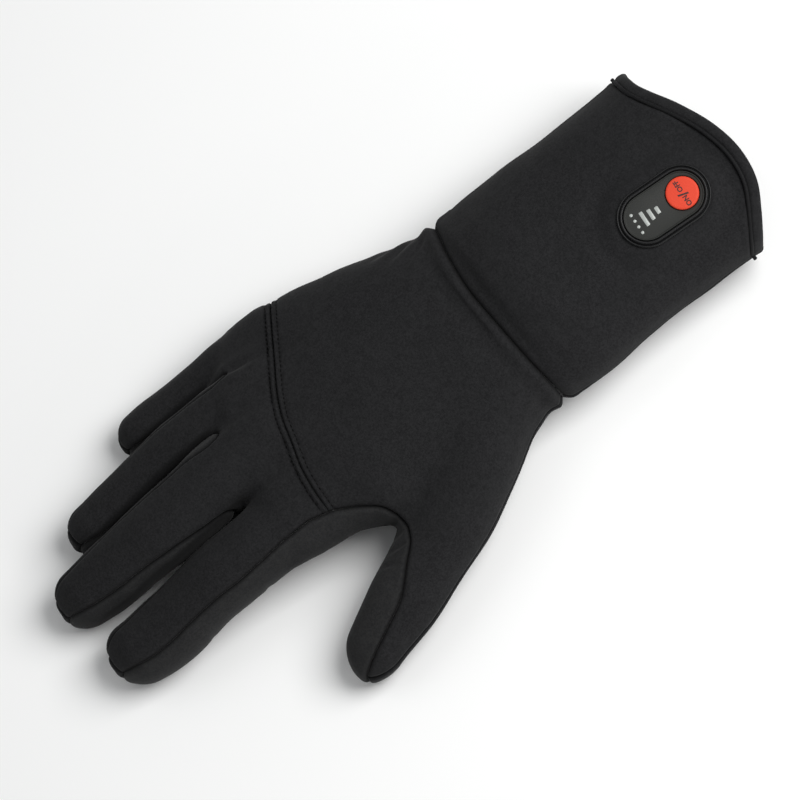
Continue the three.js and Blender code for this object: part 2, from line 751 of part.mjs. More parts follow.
const seat = padRise + seamGap
const clearance = seamGap
const innerLength = moduleLength - 2 * bezelWidth
const innerWidth = moduleWidth - 2 * bezelWidth
const bezelTop = seat + bezelHeight
const grooveInset = bezelWidth / 2 - bezelGroove / 2
const groove = pill(moduleLength - 2 * grooveInset, moduleWidth - 2 * grooveInset, bezelTop - bezelGroove, far)
  .subtract(pill(innerLength + 2 * grooveInset, innerWidth + 2 * grooveInset, -far, far))
const bezel = pill(moduleLength, moduleWidth, seat, bezelTop)
  .subtract(pill(innerLength, innerWidth, -far, far))
  .subtract(groove)

const panelTop = seat + panelThickness
const panelLength = innerLength - 2 * clearance
const panelWidth = innerWidth - 2 * clearance
const buttonRadius = buttonDiameter / 2
const buttonY = -moduleLength / 2 + buttonFromEnd
const rim = pill(panelLength, panelWidth, panelTop, panelTop + panelRim)
  .subtract(pill(panelLength - 2 * panelRim, panelWidth - 2 * panelRim, -far, far))
const markFoot = panelTop - markHeight
const markTop = panelTop + markStand
const bars = barLengths.map((length, i) => ({ length, y: moduleLength / 2 - barFromEnd - i * barPitch }))
const dots = [-1.5, -0.5, 0.5, 1.5].map((place) => ({ x: place * dotPitch, y: moduleLength / 2 - dotFromEnd }))
let panel = pill(panelLength, panelWidth, seat, panelTop)
  .add(rim)
  .subtract(disc(buttonRadius + clearance, -far, far, 0, buttonY))
for (const b of bars) panel = panel.subtract(bar(b.length, markFoot - clearance, far, b.y, clearance))
for (const d of dots) {
  panel = panel.subtract(disc(dotDiameter / 2 + clearance, markFoot - clearance, far, d.x, d.y))
}

controller.add(toMesh('controller_bezel', bezel, rubber))
controller.add(toMesh('controller_panel', panel, plate))
const buttonFoot = seat + buttonTravel
controller.add(toMesh('power_button', disc(buttonRadius, buttonFoot, buttonFoot + buttonHeight, 0, buttonY), red))
bars.forEach((b, i) => {
  controller.add(toMesh(`level_bar_${i + 1}`, bar(b.length, markFoot, markTop, b.y, 0), pale))
})
dots.forEach((d, i) => {
  controller.add(toMesh(`led_dot_${i + 1}`, disc(dotDiameter / 2, markFoot, markTop, d.x, d.y), pale))
})
glove.add(controller)

// Piping: a cord on the seam between the cuff's back and the band, its ends turned out at the side seams

// Where the cord runs: a point on the cuff's faceted wall at a place around the back, and the way out of the wall
function pipingStation(around) {
  const across = cuffMiddle + around * cuffHalf
  const reach = hemReachAt(around)
  const y = -hemStart - reach * hemReach
  const ring = angles(bodySides).map((angle) => cuffPoint(cuffRowAt(y), angle, 0))
  const seen = (p) => p.x * Math.cos(backFacing) + (p.z - backMiddle) * Math.sin(backFacing)
  for (let k = 0; k < bodySides; k++) {
    const [a, b] = [ring[k], ring[(k + 1) % bodySides]]
    const facesBack = (b.x - a.x) * Math.cos(backFacing) + (b.z - a.z) * Math.sin(backFacing) < 0
    if (facesBack && seen(a) >= across && seen(b) <= across) {
      const point = new THREE.Vector3().lerpVectors(a, b, (seen(a) - across) / (seen(a) - seen(b)))
      const middleZ = cuffHeight / 2
      const out = new THREE.Vector3((point.x - cuffCentreX) / cuffWidth ** 2, 0, (point.z - middleZ) / cuffHeight ** 2)
      return { point, out: out.normalize() }
    }
  }
  throw new Error(`no cuff wall at ${around}`)
}

function hemReachAt(around) {
  const at = Math.max(1, hemCurve.findIndex((row) => row.around >= around))
  const [a, b] = [hemCurve[at - 1], hemCurve[at]]
  return THREE.MathUtils.lerp(a.reach, b.reach, (around - a.around) / (b.around - a.around))
}

function cuffRowAt(y) {
  const along = -y / cuffLength
  const at = Math.max(1, cuffSections.findIndex((row) => row.along >= along))
  const [a, b] = [cuffSections[at - 1], cuffSections[at]]
  const t = (along - a.along) / (b.along - a.along)
  const mix = (key) => THREE.MathUtils.lerp(a[key], b[key], t)
  return { along, wide: mix('wide'), tall: mix('tall'), shift: mix('shift') }
}

function pipingSolid() {
  const places = Array.from({ length: pipingSteps + 1 }, (_, k) => -Math.cos((Math.PI * k) / pipingSteps) * pipingShare)
  const stations = places.map(pipingStation)
  const radius = pipingBead / 2
  const seat = radius * Math.cos(Math.PI / pipingSides) + seamGap
  const centres = stations.map(({ point, out }) => point.clone().addScaledVector(out, seat))
  const ends = [stations[0], stations[stations.length - 1]].map(({ out }, i) => {
    const from = centres[i === 0 ? 0 : centres.length - 1]
    return from.clone().addScaledVector(out, pipingEnd).add(new THREE.Vector3(0, 0, -pipingEnd))
  })
  const path = [ends[0], ...centres, ends[1]]
  const outs = [stations[0].out, ...stations.map((s) => s.out), stations[stations.length - 1].out]
  return loft(path.map((centre, i) => {
    const before = path[Math.max(0, i - 1)]
    const after = path[Math.min(path.length - 1, i + 1)]
    const way = after.clone().sub(before).normalize()
    const beside = new THREE.Vector3().crossVectors(way, outs[i]).normalize()
    const up = new THREE.Vector3().crossVectors(beside, way)
    return angles(pipingSides).map((angle) => {
      const turn = angle + Math.PI / pipingSides
      return centre.clone().addScaledVector(beside, radius * Math.cos(turn)).addScaledVector(up, radius * Math.sin(turn))
    })
  }))
}

glove.add(toMesh('cuff_piping', pipingSolid(), cord))

// The origin goes to the middle of the box's bottom
const box = new THREE.Box3().setFromObject(glove, true)
const middle = box.getCenter(new THREE.Vector3())
glove.position.set(-middle.x, -middle.y, -box.min.z)

export default glove
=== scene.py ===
"""The looks of a right-hand heated glove liner that lies palm down, filled as if it were worn.

Metres. +Y runs along the fingers, the thumb is on the -X side and +Z is up. The cloth is drawn with the
middle of the wrist seam at the origin, as the solids are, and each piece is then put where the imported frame
has it.
"""

import logging
import math
from collections.abc import Callable
from dataclasses import dataclass, field
from enum import Enum

import bmesh
import bpy
import numpy as np
from mathutils import Matrix, Vector
from mathutils.kdtree import KDTree


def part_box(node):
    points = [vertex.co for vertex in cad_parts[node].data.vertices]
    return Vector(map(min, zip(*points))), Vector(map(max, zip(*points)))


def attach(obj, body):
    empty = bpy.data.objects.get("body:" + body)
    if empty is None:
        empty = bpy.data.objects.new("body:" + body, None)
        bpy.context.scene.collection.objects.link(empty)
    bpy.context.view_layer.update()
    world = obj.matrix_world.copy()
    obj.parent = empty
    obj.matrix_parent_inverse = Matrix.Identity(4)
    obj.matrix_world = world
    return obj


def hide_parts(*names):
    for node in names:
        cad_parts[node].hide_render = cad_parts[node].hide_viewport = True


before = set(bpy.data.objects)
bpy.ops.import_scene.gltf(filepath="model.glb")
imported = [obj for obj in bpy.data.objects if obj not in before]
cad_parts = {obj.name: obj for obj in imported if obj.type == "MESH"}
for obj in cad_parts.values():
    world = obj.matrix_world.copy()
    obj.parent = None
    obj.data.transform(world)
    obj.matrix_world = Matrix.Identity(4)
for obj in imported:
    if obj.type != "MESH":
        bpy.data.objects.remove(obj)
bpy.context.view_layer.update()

log = logging.getLogger("glove")

MM = 0.001

# Cloth
WALL = 2.4 * MM  # padded softshell with its fleece
FINGER_PRESS = 0.5 * MM  # how far the cloth is flattened where the fingers rest
CUFF_PRESS = 1.6 * MM

# Hand
PALM_LENGTH = 118 * MM
PALM_WIDTH = 92 * MM
PALM_HEIGHT = 40 * MM
LITTLE_SIDE_DROP = 8 * MM
HAND_FULLNESS = 2.35  # roundness of the sections: 2 is an ellipse and more is boxier
TUBE_FULLNESS = 2.15

# Cuff
CUFF_LENGTH = 91 * MM
CUFF_WIDTH = 85.8 * MM
CUFF_HEIGHT = 46 * MM
CUFF_CENTRE_X = -1.4 * MM
HEM_REACH = 17.2 * MM
HEM_START = 85.6 * MM
HEM_BAND = 4.9 * MM
PIPING_BEAD = 1.5 * MM
PIPING_END = 1.5 * MM
BACK_FACING = math.radians(22)  # the back of the glove faces up and towards the thumb
BACK_MIDDLE = PALM_HEIGHT / 2
BACK_ACROSS = np.array((math.cos(BACK_FACING), 0, math.sin(BACK_FACING)))
BACK_OUT = np.array((-math.sin(BACK_FACING), 0, math.cos(BACK_FACING)))

# The body of the hand. near and far are shares of the palm's length at a section's thumb side and little
# side, left and right of its width, low and high of its height, and drop of how much lower the little side
# lies.
HAND_COLUMNS = ("near", "far", "left", "right", "low", "high", "drop")
HAND_SECTIONS = (
    (-0.04, -0.04, -0.458, 0.452, 0.005, 1.0, 0.0),
    (0.06, 0.06, -0.467, 0.478, -0.03, 1.0, 0.05),
    (0.19, 0.19, -0.467, 0.518, -0.025, 1.0, 0.15),
    (0.37, 0.35, -0.467, 0.59, 0.02, 1.0, 0.35),
    (0.54, 0.47, -0.475, 0.637, 0.06, 0.99, 0.55),
    (0.64, 0.54, -0.47, 0.652, 0.09, 0.98, 0.7),
    (0.695, 0.58, -0.42, 0.657, 0.11, 0.97, 0.8),
    (0.76, 0.61, -0.375, 0.662, 0.13, 0.96, 0.9),
    (0.84, 0.64, -0.35, 0.668, 0.17, 0.945, 1.0),
    (0.93, 0.68, -0.337, 0.672, 0.22, 0.9, 1.0),
    (1.0, 0.72, -0.325, 0.67, 0.38, 0.74, 1.0),
)

# The cuff. along is a share of its length back from the wrist seam, wide and shift are shares of its width,
# and tall of its height before the cloth is flattened.
CUFF_COLUMNS = ("along", "wide", "tall", "shift")
CUFF_SECTIONS = (
    (-0.06, 0.945, 0.865, 0.012),
    (-0.01, 0.965, 0.885, 0.01),
    (0.025, 0.99, 0.95, 0.005),
    (0.08, 1.005, 0.985, 0.0),
    (0.4, 0.995, 1.0, 0.0),
    (0.8, 1.0, 1.0, 0.002),
    (1.3, 1.014, 1.0, 0.006),
)

# Seams across the back, seen square to it: shares of the palm's width across and of its length along
KNUCKLE_SEAM = (
    (-0.4, 1.7),
    (-0.38, 0.9),
    (-0.34, 0.81),
    (-0.22, 0.808),
    (-0.1, 0.804),
    (0.0, 0.792),
    (0.1, 0.768),
    (0.2, 0.745),
    (0.3, 0.706),
    (0.4, 0.655),
    (0.5, 0.604),
    (0.6, 0.55),
    (0.72, 0.48),
)
WRIST_SEAM = (
    (-0.75, 0.006),
    (-0.44, 0.012),
    (-0.2, 0.027),
    (0.0, 0.035),
    (0.15, 0.038),
    (0.3, 0.024),
    (0.44, 0.0),
    (0.75, -0.02),
)

# The curved end of the cuff's back: a place from -1 at the thumb-side seam to 1 at the other, then a share of
# HEM_REACH
HEM_CURVE = (
    (-1.0, 0.0),
    (-0.865, 0.2),
    (-0.68, 0.49),
    (-0.455, 0.79),
    (-0.18, 0.9),
    (0.115, 0.8),
    (0.455, 0.49),
    (0.685, 0.21),
    (0.84, 0.05),
    (1.0, 0.0),
)

# Height of the seam between back and palm, as shares of the palm's height, by the share of the palm's length:
# under the thumb's outer edge, between the fingers, and on the little finger's side
SIDE_SEAM = (
    (-0.3, 0.45, 0.52, 0.5),
    (0.05, 0.45, 0.52, 0.5),
    (0.4, 0.4, 0.54, 0.42),
    (0.7, 0.36, 0.56, 0.32),
    (0.95, 0.3, 0.56, 0.28),
    (1.1, 0.27, 0.54, 0.25),
    (1.3, 0.27, 0.46, 0.25),
    (1.45, 0.27, 0.38, 0.25),
    (1.56, 0.27, 0.34, 0.25),
    (1.8, 0.27, 0.33, 0.25),
)

FAR = 0.4  # past everything


def smooth_step(value: np.ndarray, low: float, high: float) -> np.ndarray:
    """Runs from 0 at low to 1 at high, level at both ends.

    Args:
        value: where to read it.
        low: the value at which it leaves 0.
        high: the value at which it reaches 1.

    Returns:
        The eased share.
    """
    share = np.clip((value - low) / (high - low), 0, 1)
    return share * share * (3 - 2 * share)


def smooth_min(a: np.ndarray, b: np.ndarray, reach: float) -> np.ndarray:
    """Joins two distance fields with a fillet.

    Args:
        a: the first field.
        b: the second field.
        reach: how far apart the two may be and still blend.

    Returns:
        The joined field.
    """
    near = np.maximum(reach - np.abs(a - b), 0) / reach
    return np.minimum(a, b) - near * near * reach / 4


def smooth_max(a: np.ndarray, b: np.ndarray, reach: float) -> np.ndarray:
    """What two distance fields share, with a rounded edge; the arguments are those of smooth_min."""
    return -smooth_min(-a, -b, reach)


def column(rows: tuple, names: tuple, name: str) -> np.ndarray:
    """One named column of a section table."""
    return np.array([row[names.index(name)] for row in rows])


def curve(keys: np.ndarray, values: np.ndarray, at: np.ndarray) -> np.ndarray:
    """A smooth curve through a table's points.

    Args:
        keys: rising places.
        values: the values there.
        at: where to read the curve, held to the table's ends.

    Returns:
        The curve's values.
    """
    slopes = np.gradient(values, keys)
    at = np.clip(at, keys[0], keys[-1])
    i = np.clip(np.searchsorted(keys, at, side="right") - 1, 0, len(keys) - 2)
    span = keys[i + 1] - keys[i]
    t = (at - keys[i]) / span
    rise = values[i + 1] - values[i]
    ease = t * t * (3 - 2 * t)
    bend = (t - 2 * t * t + t**3) * slopes[i] + (t**3 - t * t) * slopes[i + 1]
    return values[i] + rise * ease + span * bend


def smooth_line(points: np.ndarray, pieces: int) -> np.ndarray:
    """A polyline with its corners rounded, through the same points.

    Args:
        points: one row a point.
        pieces: new steps for each old one.

    Returns:
        The finer polyline.
    """
    points = np.asarray(points, float)
    steps = np.linalg.norm(np.diff(points, axis=0), axis=1)
    keys = np.concatenate(([0.0], np.cumsum(steps)))
    at = np.interp(np.arange((len(keys) - 1) * pieces + 1) / pieces, np.arange(len(keys)), keys)
    return np.stack([curve(keys, points[:, k], at) for k in range(points.shape[1])], axis=1)


def rounded(u: np.ndarray, v: np.ndarray, fullness: float) -> np.ndarray:
    """How far out a point lies on a rounded section, 1 being its wall."""
    return (np.abs(u) ** fullness + np.abs(v) ** fullness) ** (1 / fullness)


def section_distance(
    beside: np.ndarray, above: np.ndarray, wide: np.ndarray, tall: np.ndarray, fullness: float
) -> np.ndarray:
    """Distance to the wall of a rounded section, less than 0 inside.

    Args:
        beside: places beside its middle.
        above: places above its middle.
        wide: its half width.
        tall: its half height.
        fullness: its roundness, 2 being an ellipse.

    Returns:
        The distance at each place.
    """
    u, v = beside / wide, above / tall
    scale = (u * u * wide + v * v * tall) / (u * u + v * v + 1e-9)
    return (rounded(u, v, fullness) - 1) * scale


@dataclass(frozen=True)
class Digit:
    """A finger or thumb. The root is in shares of the palm. In a row, along is a share of length, aside of
    width (towards the little finger), rise of arch, wide of width and deep of depth."""

    root_x: float
    root_y: float
    heading: float
    length: float
    width: float
    depth: float
    arch: float
    tip: float
    blend: float
    rows: tuple

    COLUMNS = ("along", "aside", "rise", "wide", "deep")
    TIP_DROP = 0.25  # how far a fingertip's narrowing sections sink
    ROOT_ROUND = 9 * MM
    # A side seam: shares of the length, with how far it is drawn in towards the tip's middle
    SEAM_ROWS = (
        *((along, 1.0) for along in (0.3, 0.42, 0.54, 0.66, 0.76, 0.84)),
        (0.9, 0.97), (0.945, 0.86), (0.975, 0.68), (1.0, 0.5), (1.08, 0.3),
    )
    SEAM_SHARES_AT = (0.3, 0.65, 1.0)

    def read(self, name: str, along: np.ndarray) -> np.ndarray:
        """A column of the table at shares of the digit's length."""
        return curve(column(self.rows, self.COLUMNS, "along"), column(self.rows, self.COLUMNS, name), along)

    def local(self, x: np.ndarray, y: np.ndarray) -> tuple[np.ndarray, np.ndarray]:
        """Where points in plan lie against the digit's centre line.

        Args:
            x: places across.
            y: places along.

        Returns:
            How far each lies from the root, and how far beside the centre line.
        """
        angle = math.radians(self.heading)
        dx, dy = x - self.root_x * PALM_WIDTH, y - self.root_y * PALM_LENGTH
        reach = -math.sin(angle) * dx + math.cos(angle) * dy
        beside = math.cos(angle) * dx + math.sin(angle) * dy
        return reach, beside - self.read("aside", reach / self.length) * self.width

    def distance(self, x: np.ndarray, y: np.ndarray, z: np.ndarray) -> np.ndarray:
        """Distance to the digit's cloth, less than 0 inside.

        Args:
            x: places across, in plan.
            y: places along, in plan.
            z: heights.

        Returns:
            The field, of the arguments' joint shape.
        """
        reach, beside = self.local(x, y)
        along = reach / self.length
        wide = self.read("wide", along) * self.width / 2
        deep = self.read("deep", along) * self.depth / 2
        past = np.maximum(reach - (self.length - self.tip), 0) / self.tip
        before = np.maximum(-reach, 0) / self.ROOT_ROUND
        sink = deep * self.TIP_DROP * (1 - np.sqrt(np.maximum(1 - past * past, 0)))
        middle = deep - FINGER_PRESS + self.read("rise", along) * self.arch - sink
        u, v = beside / wide, (z - middle) / deep
        ends = past * past + before * before
        out = rounded(u, v, TUBE_FULLNESS)
        scale = (u * u * wide + v * v * deep + ends * self.tip) / (u * u + v * v + ends + 1e-9)
        return (np.sqrt(out * out + ends) - 1) * scale

    def seam(self, shares: tuple[float, float, float]) -> np.ndarray:
        """A seam up one side of the digit in plan, from its web to past its tip.

        Args:
            shares: how far from the centre line it runs at its foot, middle and tip, in half widths.

        Returns:
            The points of the seam.
        """
        angle = math.radians(self.heading)
        along, drawn_in = np.array(self.SEAM_ROWS).T
        share = np.interp(along, self.SEAM_SHARES_AT, shares) * drawn_in
        half = self.read("wide", along) * self.width / 2
        beside = self.read("aside", along) * self.width + share * half
        reach = along * self.length
        x = self.root_x * PALM_WIDTH - math.sin(angle) * reach + math.cos(angle) * beside
        y = self.root_y * PALM_LENGTH + math.cos(angle) * reach + math.sin(angle) * beside
        return np.stack([x, y], axis=1)


INDEX = Digit(-0.172, 0.81, 0, 98.6 * MM, 27.4 * MM, 24.8 * MM, 9.6 * MM, 10.5 * MM, 5 * MM, (
    (0.0, 0.0, 1.0, 1.06, 1.03),
    (0.34, -0.004, 1.0, 1.03, 1.01),
    (0.48, 0.018, 0.82, 1.0, 1.0),
    (0.6, 0.018, 0.58, 0.985, 0.98),
    (0.74, 0.004, 0.28, 1.01, 0.96),
    (0.83, 0.008, 0.14, 0.975, 0.93),
    (1.0, 0.09, 0.0, 0.88, 0.86),
))
MIDDLE = Digit(0.158, 0.81, 0, 102.3 * MM, 27 * MM, 25.2 * MM, 12.3 * MM, 10.5 * MM, 5 * MM, (
    (0.0, 0.04, 0.98, 1.04, 1.03),
    (0.33, -0.015, 1.0, 1.05, 1.02),
    (0.46, -0.035, 0.94, 1.035, 1.0),
    (0.66, -0.035, 0.6, 0.97, 0.96),
    (0.74, -0.02, 0.42, 0.965, 0.945),
    (0.81, 0.0, 0.25, 0.92, 0.92),
    (0.89, 0.035, 0.1, 0.87, 0.88),
    (1.0, 0.09, 0.0, 0.83, 0.84),
))
RING = Digit(0.395, 0.72, 0, 93.6 * MM, 20.8 * MM, 23.2 * MM, 10 * MM, 9.5 * MM, 5 * MM, (
    (0.0, 0.0, 1.0, 1.0, 1.02),
    (0.35, 0.018, 0.82, 1.0, 1.0),
    (0.48, 0.025, 0.6, 0.99, 1.0),
    (0.62, 0.01, 0.34, 0.975, 0.99),
    (0.75, -0.02, 0.12, 0.965, 0.98),
    (0.9, -0.025, 0.02, 0.92, 0.93),
    (1.0, 0.02, 0.0, 0.88, 0.88),
))
LITTLE = Digit(0.563, 0.62, 0, 69 * MM, 17.6 * MM, 19 * MM, 5.4 * MM, 8.5 * MM, 5 * MM, (
    (0.0, 0.0, 1.0, 1.06, 1.08),
    (0.3, 0.04, 0.7, 1.1, 1.08),
    (0.46, 0.1, 0.45, 1.05, 1.02),
    (0.65, 0.16, 0.14, 1.0, 0.99),
    (0.78, 0.17, 0.04, 0.985, 0.97),
    (0.87, 0.17, 0.0, 0.95, 0.95),
    (1.0, 0.19, 0.0, 0.9, 0.9),
))
THUMB = Digit(-0.26, 0.07, 23.7, 127.2 * MM, 28.6 * MM, 25 * MM, 3.6 * MM, 12 * MM, 5 * MM, (
    (0.0, 0.0, 0.6, 1.0, 1.34),
    (0.3, -0.07, 0.9, 1.13, 1.26),
    (0.44, -0.105, 1.0, 1.14, 1.15),
    (0.56, -0.12, 1.0, 1.07, 1.06),
    (0.66, -0.115, 0.9, 1.0, 1.01),
    (0.76, -0.095, 0.65, 0.95, 0.97),
    (0.9, -0.06, 0.2, 0.77, 0.88),
    (1.0, -0.06, 0.0, 0.62, 0.8),
))


class Seam(Enum):
    """The seams of the glove, each with its own look."""

    STRIP = 1  # a side strip to its neighbour
    SIDE = 2  # back to palm
    KNUCKLE = 3  # topstitched, across the back
    WRIST = 4  # hand to cuff
    HEM = 5  # the piping's seam
    EDGE = 6  # the cuff's open end


@dataclass
class Sheet:
    """A piece of the glove's outer face: points, their outward directions, triangles, and the seam that each
    point lies on, 0 being none."""

    points: np.ndarray
    normals: np.ndarray
    faces: np.ndarray
    seams: np.ndarray

    def cut(self, amounts: np.ndarray, seam: Seam) -> "Sheet":
        """Keeps what lies where the amounts are above 0, cut exactly along the line between.

        Args:
            amounts: a signed distance for each point.
            seam: the seam that the new edge is.

        Returns:
            The part that is kept.
        """
        inside = amounts > 0
        count = inside[self.faces].sum(axis=1)
        whole = self.faces[count == 3]
        mixed = self.faces[(count == 1) | (count == 2)]
        single = inside[mixed].sum(axis=1) == 1
        lone = np.where(single[:, None], inside[mixed], ~inside[mixed]).argmax(axis=1)
        rows = np.arange(len(mixed))
        a, b, c = (mixed[rows, (lone + k) % 3] for k in range(3))
        pairs = np.sort(np.concatenate([np.stack([a, b], 1), np.stack([a, c], 1)]), axis=1)
        edges, place = np.unique(pairs, axis=0, return_inverse=True)
        place = place.reshape(-1) + len(self.points)
        ab, ac = place[: len(mixed)], place[len(mixed) :]
        g0, g1 = amounts[edges[:, 0]], amounts[edges[:, 1]]
        t = (g0 / (g0 - g1))[:, None]
        points = self.points[edges[:, 0]] * (1 - t) + self.points[edges[:, 1]] * t
        normals = self.normals[edges[:, 0]] * (1 - t) + self.normals[edges[:, 1]] * t
        normals /= np.linalg.norm(normals, axis=1, keepdims=True)
        ones = np.stack([a, ab, ac], 1)[single]
        twos = np.concatenate([np.stack([ab, b, c], 1)[~single], np.stack([ab, c, ac], 1)[~single]])
        faces = np.concatenate([whole, ones, twos])
        used, faces = np.unique(faces, return_inverse=True)
        return Sheet(
            np.concatenate([self.points, points])[used],
            np.concatenate([self.normals, normals])[used],
            faces.reshape(-1, 3),
            np.concatenate([self.seams, np.full(len(edges), seam.value)])[used],
        )

    def rim(self) -> np.ndarray:
        """The edges that only one triangle has.

        Returns:
            The two ends of each, in the order in which its triangle runs through them.
        """
        edges = sides(self.faces)
        _, index, count = np.unique(np.sort(edges, axis=1), axis=0, return_index=True, return_counts=True)
        return edges[index[count == 1]]


def sides(faces: np.ndarray) -> np.ndarray:
    """The three edges of every triangle, each in its running order."""
    return np.concatenate([faces[:, [0, 1]], faces[:, [1, 2]], faces[:, [2, 0]]])


@dataclass
class Form:
    """The glove's smooth outer form, as a distance field on a grid and as the mesh of its surface."""

    step: float = 0.85 * MM
    low: tuple = (-86 * MM, -113 * MM, -2.6 * MM)
    high: tuple = (70 * MM, 201.5 * MM, 52 * MM)
    finger_blend: float = 1.4 * MM
    floor_blend: float = 1.2 * MM
    wrist_blend: float = 3 * MM
    wrist_overlap: float = 8 * MM
    knuckle_round: float = 4 * MM
    margin: float = 14 * MM  # of a digit's box, past its widths
    rounds: int = 18  # tries that find a point's section, as a section is bent across the hand
    evenings: int = 4  # passes that even out the triangles
    field: np.ndarray = field(init=False, repr=False)

    def hand(self, x: np.ndarray, y: np.ndarray, z: np.ndarray) -> np.ndarray:
        """Distance to the body of the hand, less than 0 inside.

        Args:
            x: places across.
            y: places along.
            z: heights.

        Returns:
            The field, of the arguments' joint shape.
        """
        near_keys = column(HAND_SECTIONS, HAND_COLUMNS, "near")
        falls = column(HAND_SECTIONS, HAND_COLUMNS, "far") - near_keys

        def read(name: str) -> np.ndarray:
            """A column of the table at the present places."""
            return curve(near_keys, column(HAND_SECTIONS, HAND_COLUMNS, name), near)

        near = y / PALM_LENGTH
        for _ in range(self.rounds):
            left, right = read("left") * PALM_WIDTH, read("right") * PALM_WIDTH
            share = np.clip((x - left) / (right - left), 0, 1)
            near = y / PALM_LENGTH - curve(near_keys, falls, near) * share**4
        wide, tall = (right - left) / 2, (read("high") - read("low")) * PALM_HEIGHT / 2
        middle = (read("high") + read("low")) * PALM_HEIGHT / 2
        middle = middle - LITTLE_SIDE_DROP * read("drop") * share**2
        distance = section_distance(x - (left + right) / 2, z - middle, wide, tall, HAND_FULLNESS)
        distance = smooth_max(distance, (near - 1) * PALM_LENGTH, self.knuckle_round)
        return np.maximum(distance, -self.wrist_overlap - y)

    def cuff(self, x: np.ndarray, y: np.ndarray, z: np.ndarray) -> np.ndarray:
        """Distance to the cuff, less than 0 inside.

        Args:
            x: places across.
            y: places along.
            z: heights.

        Returns:
            The field, of the arguments' joint shape.
        """
        middle, wide, tall = cuff_section(y)
        distance = section_distance(x - middle, z - tall + CUFF_PRESS, wide, tall, TUBE_FULLNESS)
        return np.maximum(distance, y - self.wrist_overlap)

    def axes(self) -> tuple[np.ndarray, np.ndarray, np.ndarray]:
        """The grid's places along X, Y and Z."""
        return tuple(np.arange(a, b, self.step) for a, b in zip(self.low, self.high))

    def blend_in(self, distance: Callable, box: tuple, reach: float) -> None:
        """Joins one form to the field.

        Args:
            distance: gives the form's own field at places across, places along and heights.
            box: the form's lowest and highest places across, then along.
            reach: the fillet's reach.
        """
        xs, ys, zs = self.axes()
        i, j = slice(*np.searchsorted(xs, box[0:2])), slice(*np.searchsorted(ys, box[2:4]))
        x, y = np.meshgrid(xs[i], ys[j], indexing="ij")
        values = distance(x[:, :, None], y[:, :, None], zs[None, None, :]).astype(np.float32)
        self.field[i, j] = smooth_min(self.field[i, j], values, reach)

    def fill(self) -> None:
        """Works the field out on the grid, each form in its own box only."""
        self.field = np.full([len(axis) for axis in self.axes()], FAR, np.float32)
        for digit in (INDEX, MIDDLE, RING, LITTLE):
            side, foot = digit.root_x * PALM_WIDTH, digit.root_y * PALM_LENGTH
            reach = digit.width / 2 + self.margin
            box = (side - reach, side + reach, foot - self.margin, foot + digit.length + self.margin)
            self.blend_in(digit.distance, box, self.finger_blend)
        left, right = self.low[0], self.high[0]
        hand = (left, right, -self.wrist_overlap - self.step, PALM_LENGTH + self.margin)
        self.blend_in(self.hand, hand, INDEX.blend)
        self.blend_in(THUMB.distance, (left, 0, -self.margin, THUMB.length + self.margin), THUMB.blend)
        self.blend_in(self.cuff, (left, right, self.low[1], self.wrist_overlap), self.wrist_blend)
        floor = -self.axes()[2][None, None, :].astype(np.float32)
        self.field = smooth_max(self.field, floor, self.floor_blend)

    def sample(self, points: np.ndarray) -> np.ndarray:
        """The field at any points, between the grid's values.

        Args:
            points: one row a point.

        Returns:
            One value a point.
        """
        place = (points - np.array(self.low)) / self.step
        cell = np.clip(place.astype(int), 0, np.array(self.field.shape) - 2)
        t = np.clip(place - cell, 0, 1)
        total = np.zeros(len(points))
        for corner in np.ndindex(2, 2, 2):
            weight = np.prod(np.where(np.array(corner) == 1, t, 1 - t), axis=1)
            total += weight * self.field[tuple((cell + corner).T)]
        return total

    def slope(self, points: np.ndarray) -> np.ndarray:
        """The field's gradient at any points.

        Args:
            points: one row a point.

        Returns:
            One direction a point, about 1 long.
        """
        reach = np.eye(3) * self.step
        ends = [self.sample(points + row) - self.sample(points - row) for row in reach]
        return np.stack(ends, axis=1) / (2 * self.step)

    def settle(self, points: np.ndarray) -> tuple[np.ndarray, np.ndarray]:
        """Moves points on to the surface.

        Args:
            points: points near the surface.

        Returns:
            The points, and the outward directions there.
        """
        slope = self.slope(points)
        length = np.maximum(np.linalg.norm(slope, axis=1, keepdims=True), 0.2)
        move = self.sample(points)[:, None] * slope / length**2
        return points - np.clip(move, -self.step, self.step), slope / length

    def net(self) -> tuple[np.ndarray, np.ndarray]:
        """The surface as the grid has it.

        Returns:
            A point in each grid cell that the surface passes through, and triangles between them.
        """
        values = self.field
        inside = values < 0
        shape = np.array(values.shape) - 1
        corners = list(np.ndindex(2, 2, 2))
        cuts = [tuple(slice(c, c + n) for c, n in zip(corner, shape)) for corner in corners]
        held = sum(inside[cut].astype(np.int8) for cut in cuts)
        mixed = (held > 0) & (held < len(corners))
        cells = np.argwhere(mixed)
        index = np.full(shape, -1)
        index[mixed] = np.arange(len(cells))
        total, count = np.zeros((len(cells), 3)), np.zeros(len(cells))
        for a in corners:
            for axis in (k for k in range(3) if a[k] == 0):
                b = tuple(c + (k == axis) for k, c in enumerate(a))
                va, vb = values[tuple((cells + a).T)], values[tuple((cells + b).T)]
                cross = (va < 0) != (vb < 0)
                t = np.where(cross, va / np.where(cross, va - vb, 1), 0)
                total[cross] += np.array(a) + t[cross, None] * (np.array(b) - np.array(a))
                count[cross] += 1
        points = np.array(self.low) + (cells + total / count[:, None]) * self.step
        return points, self.net_faces(inside, index, points)

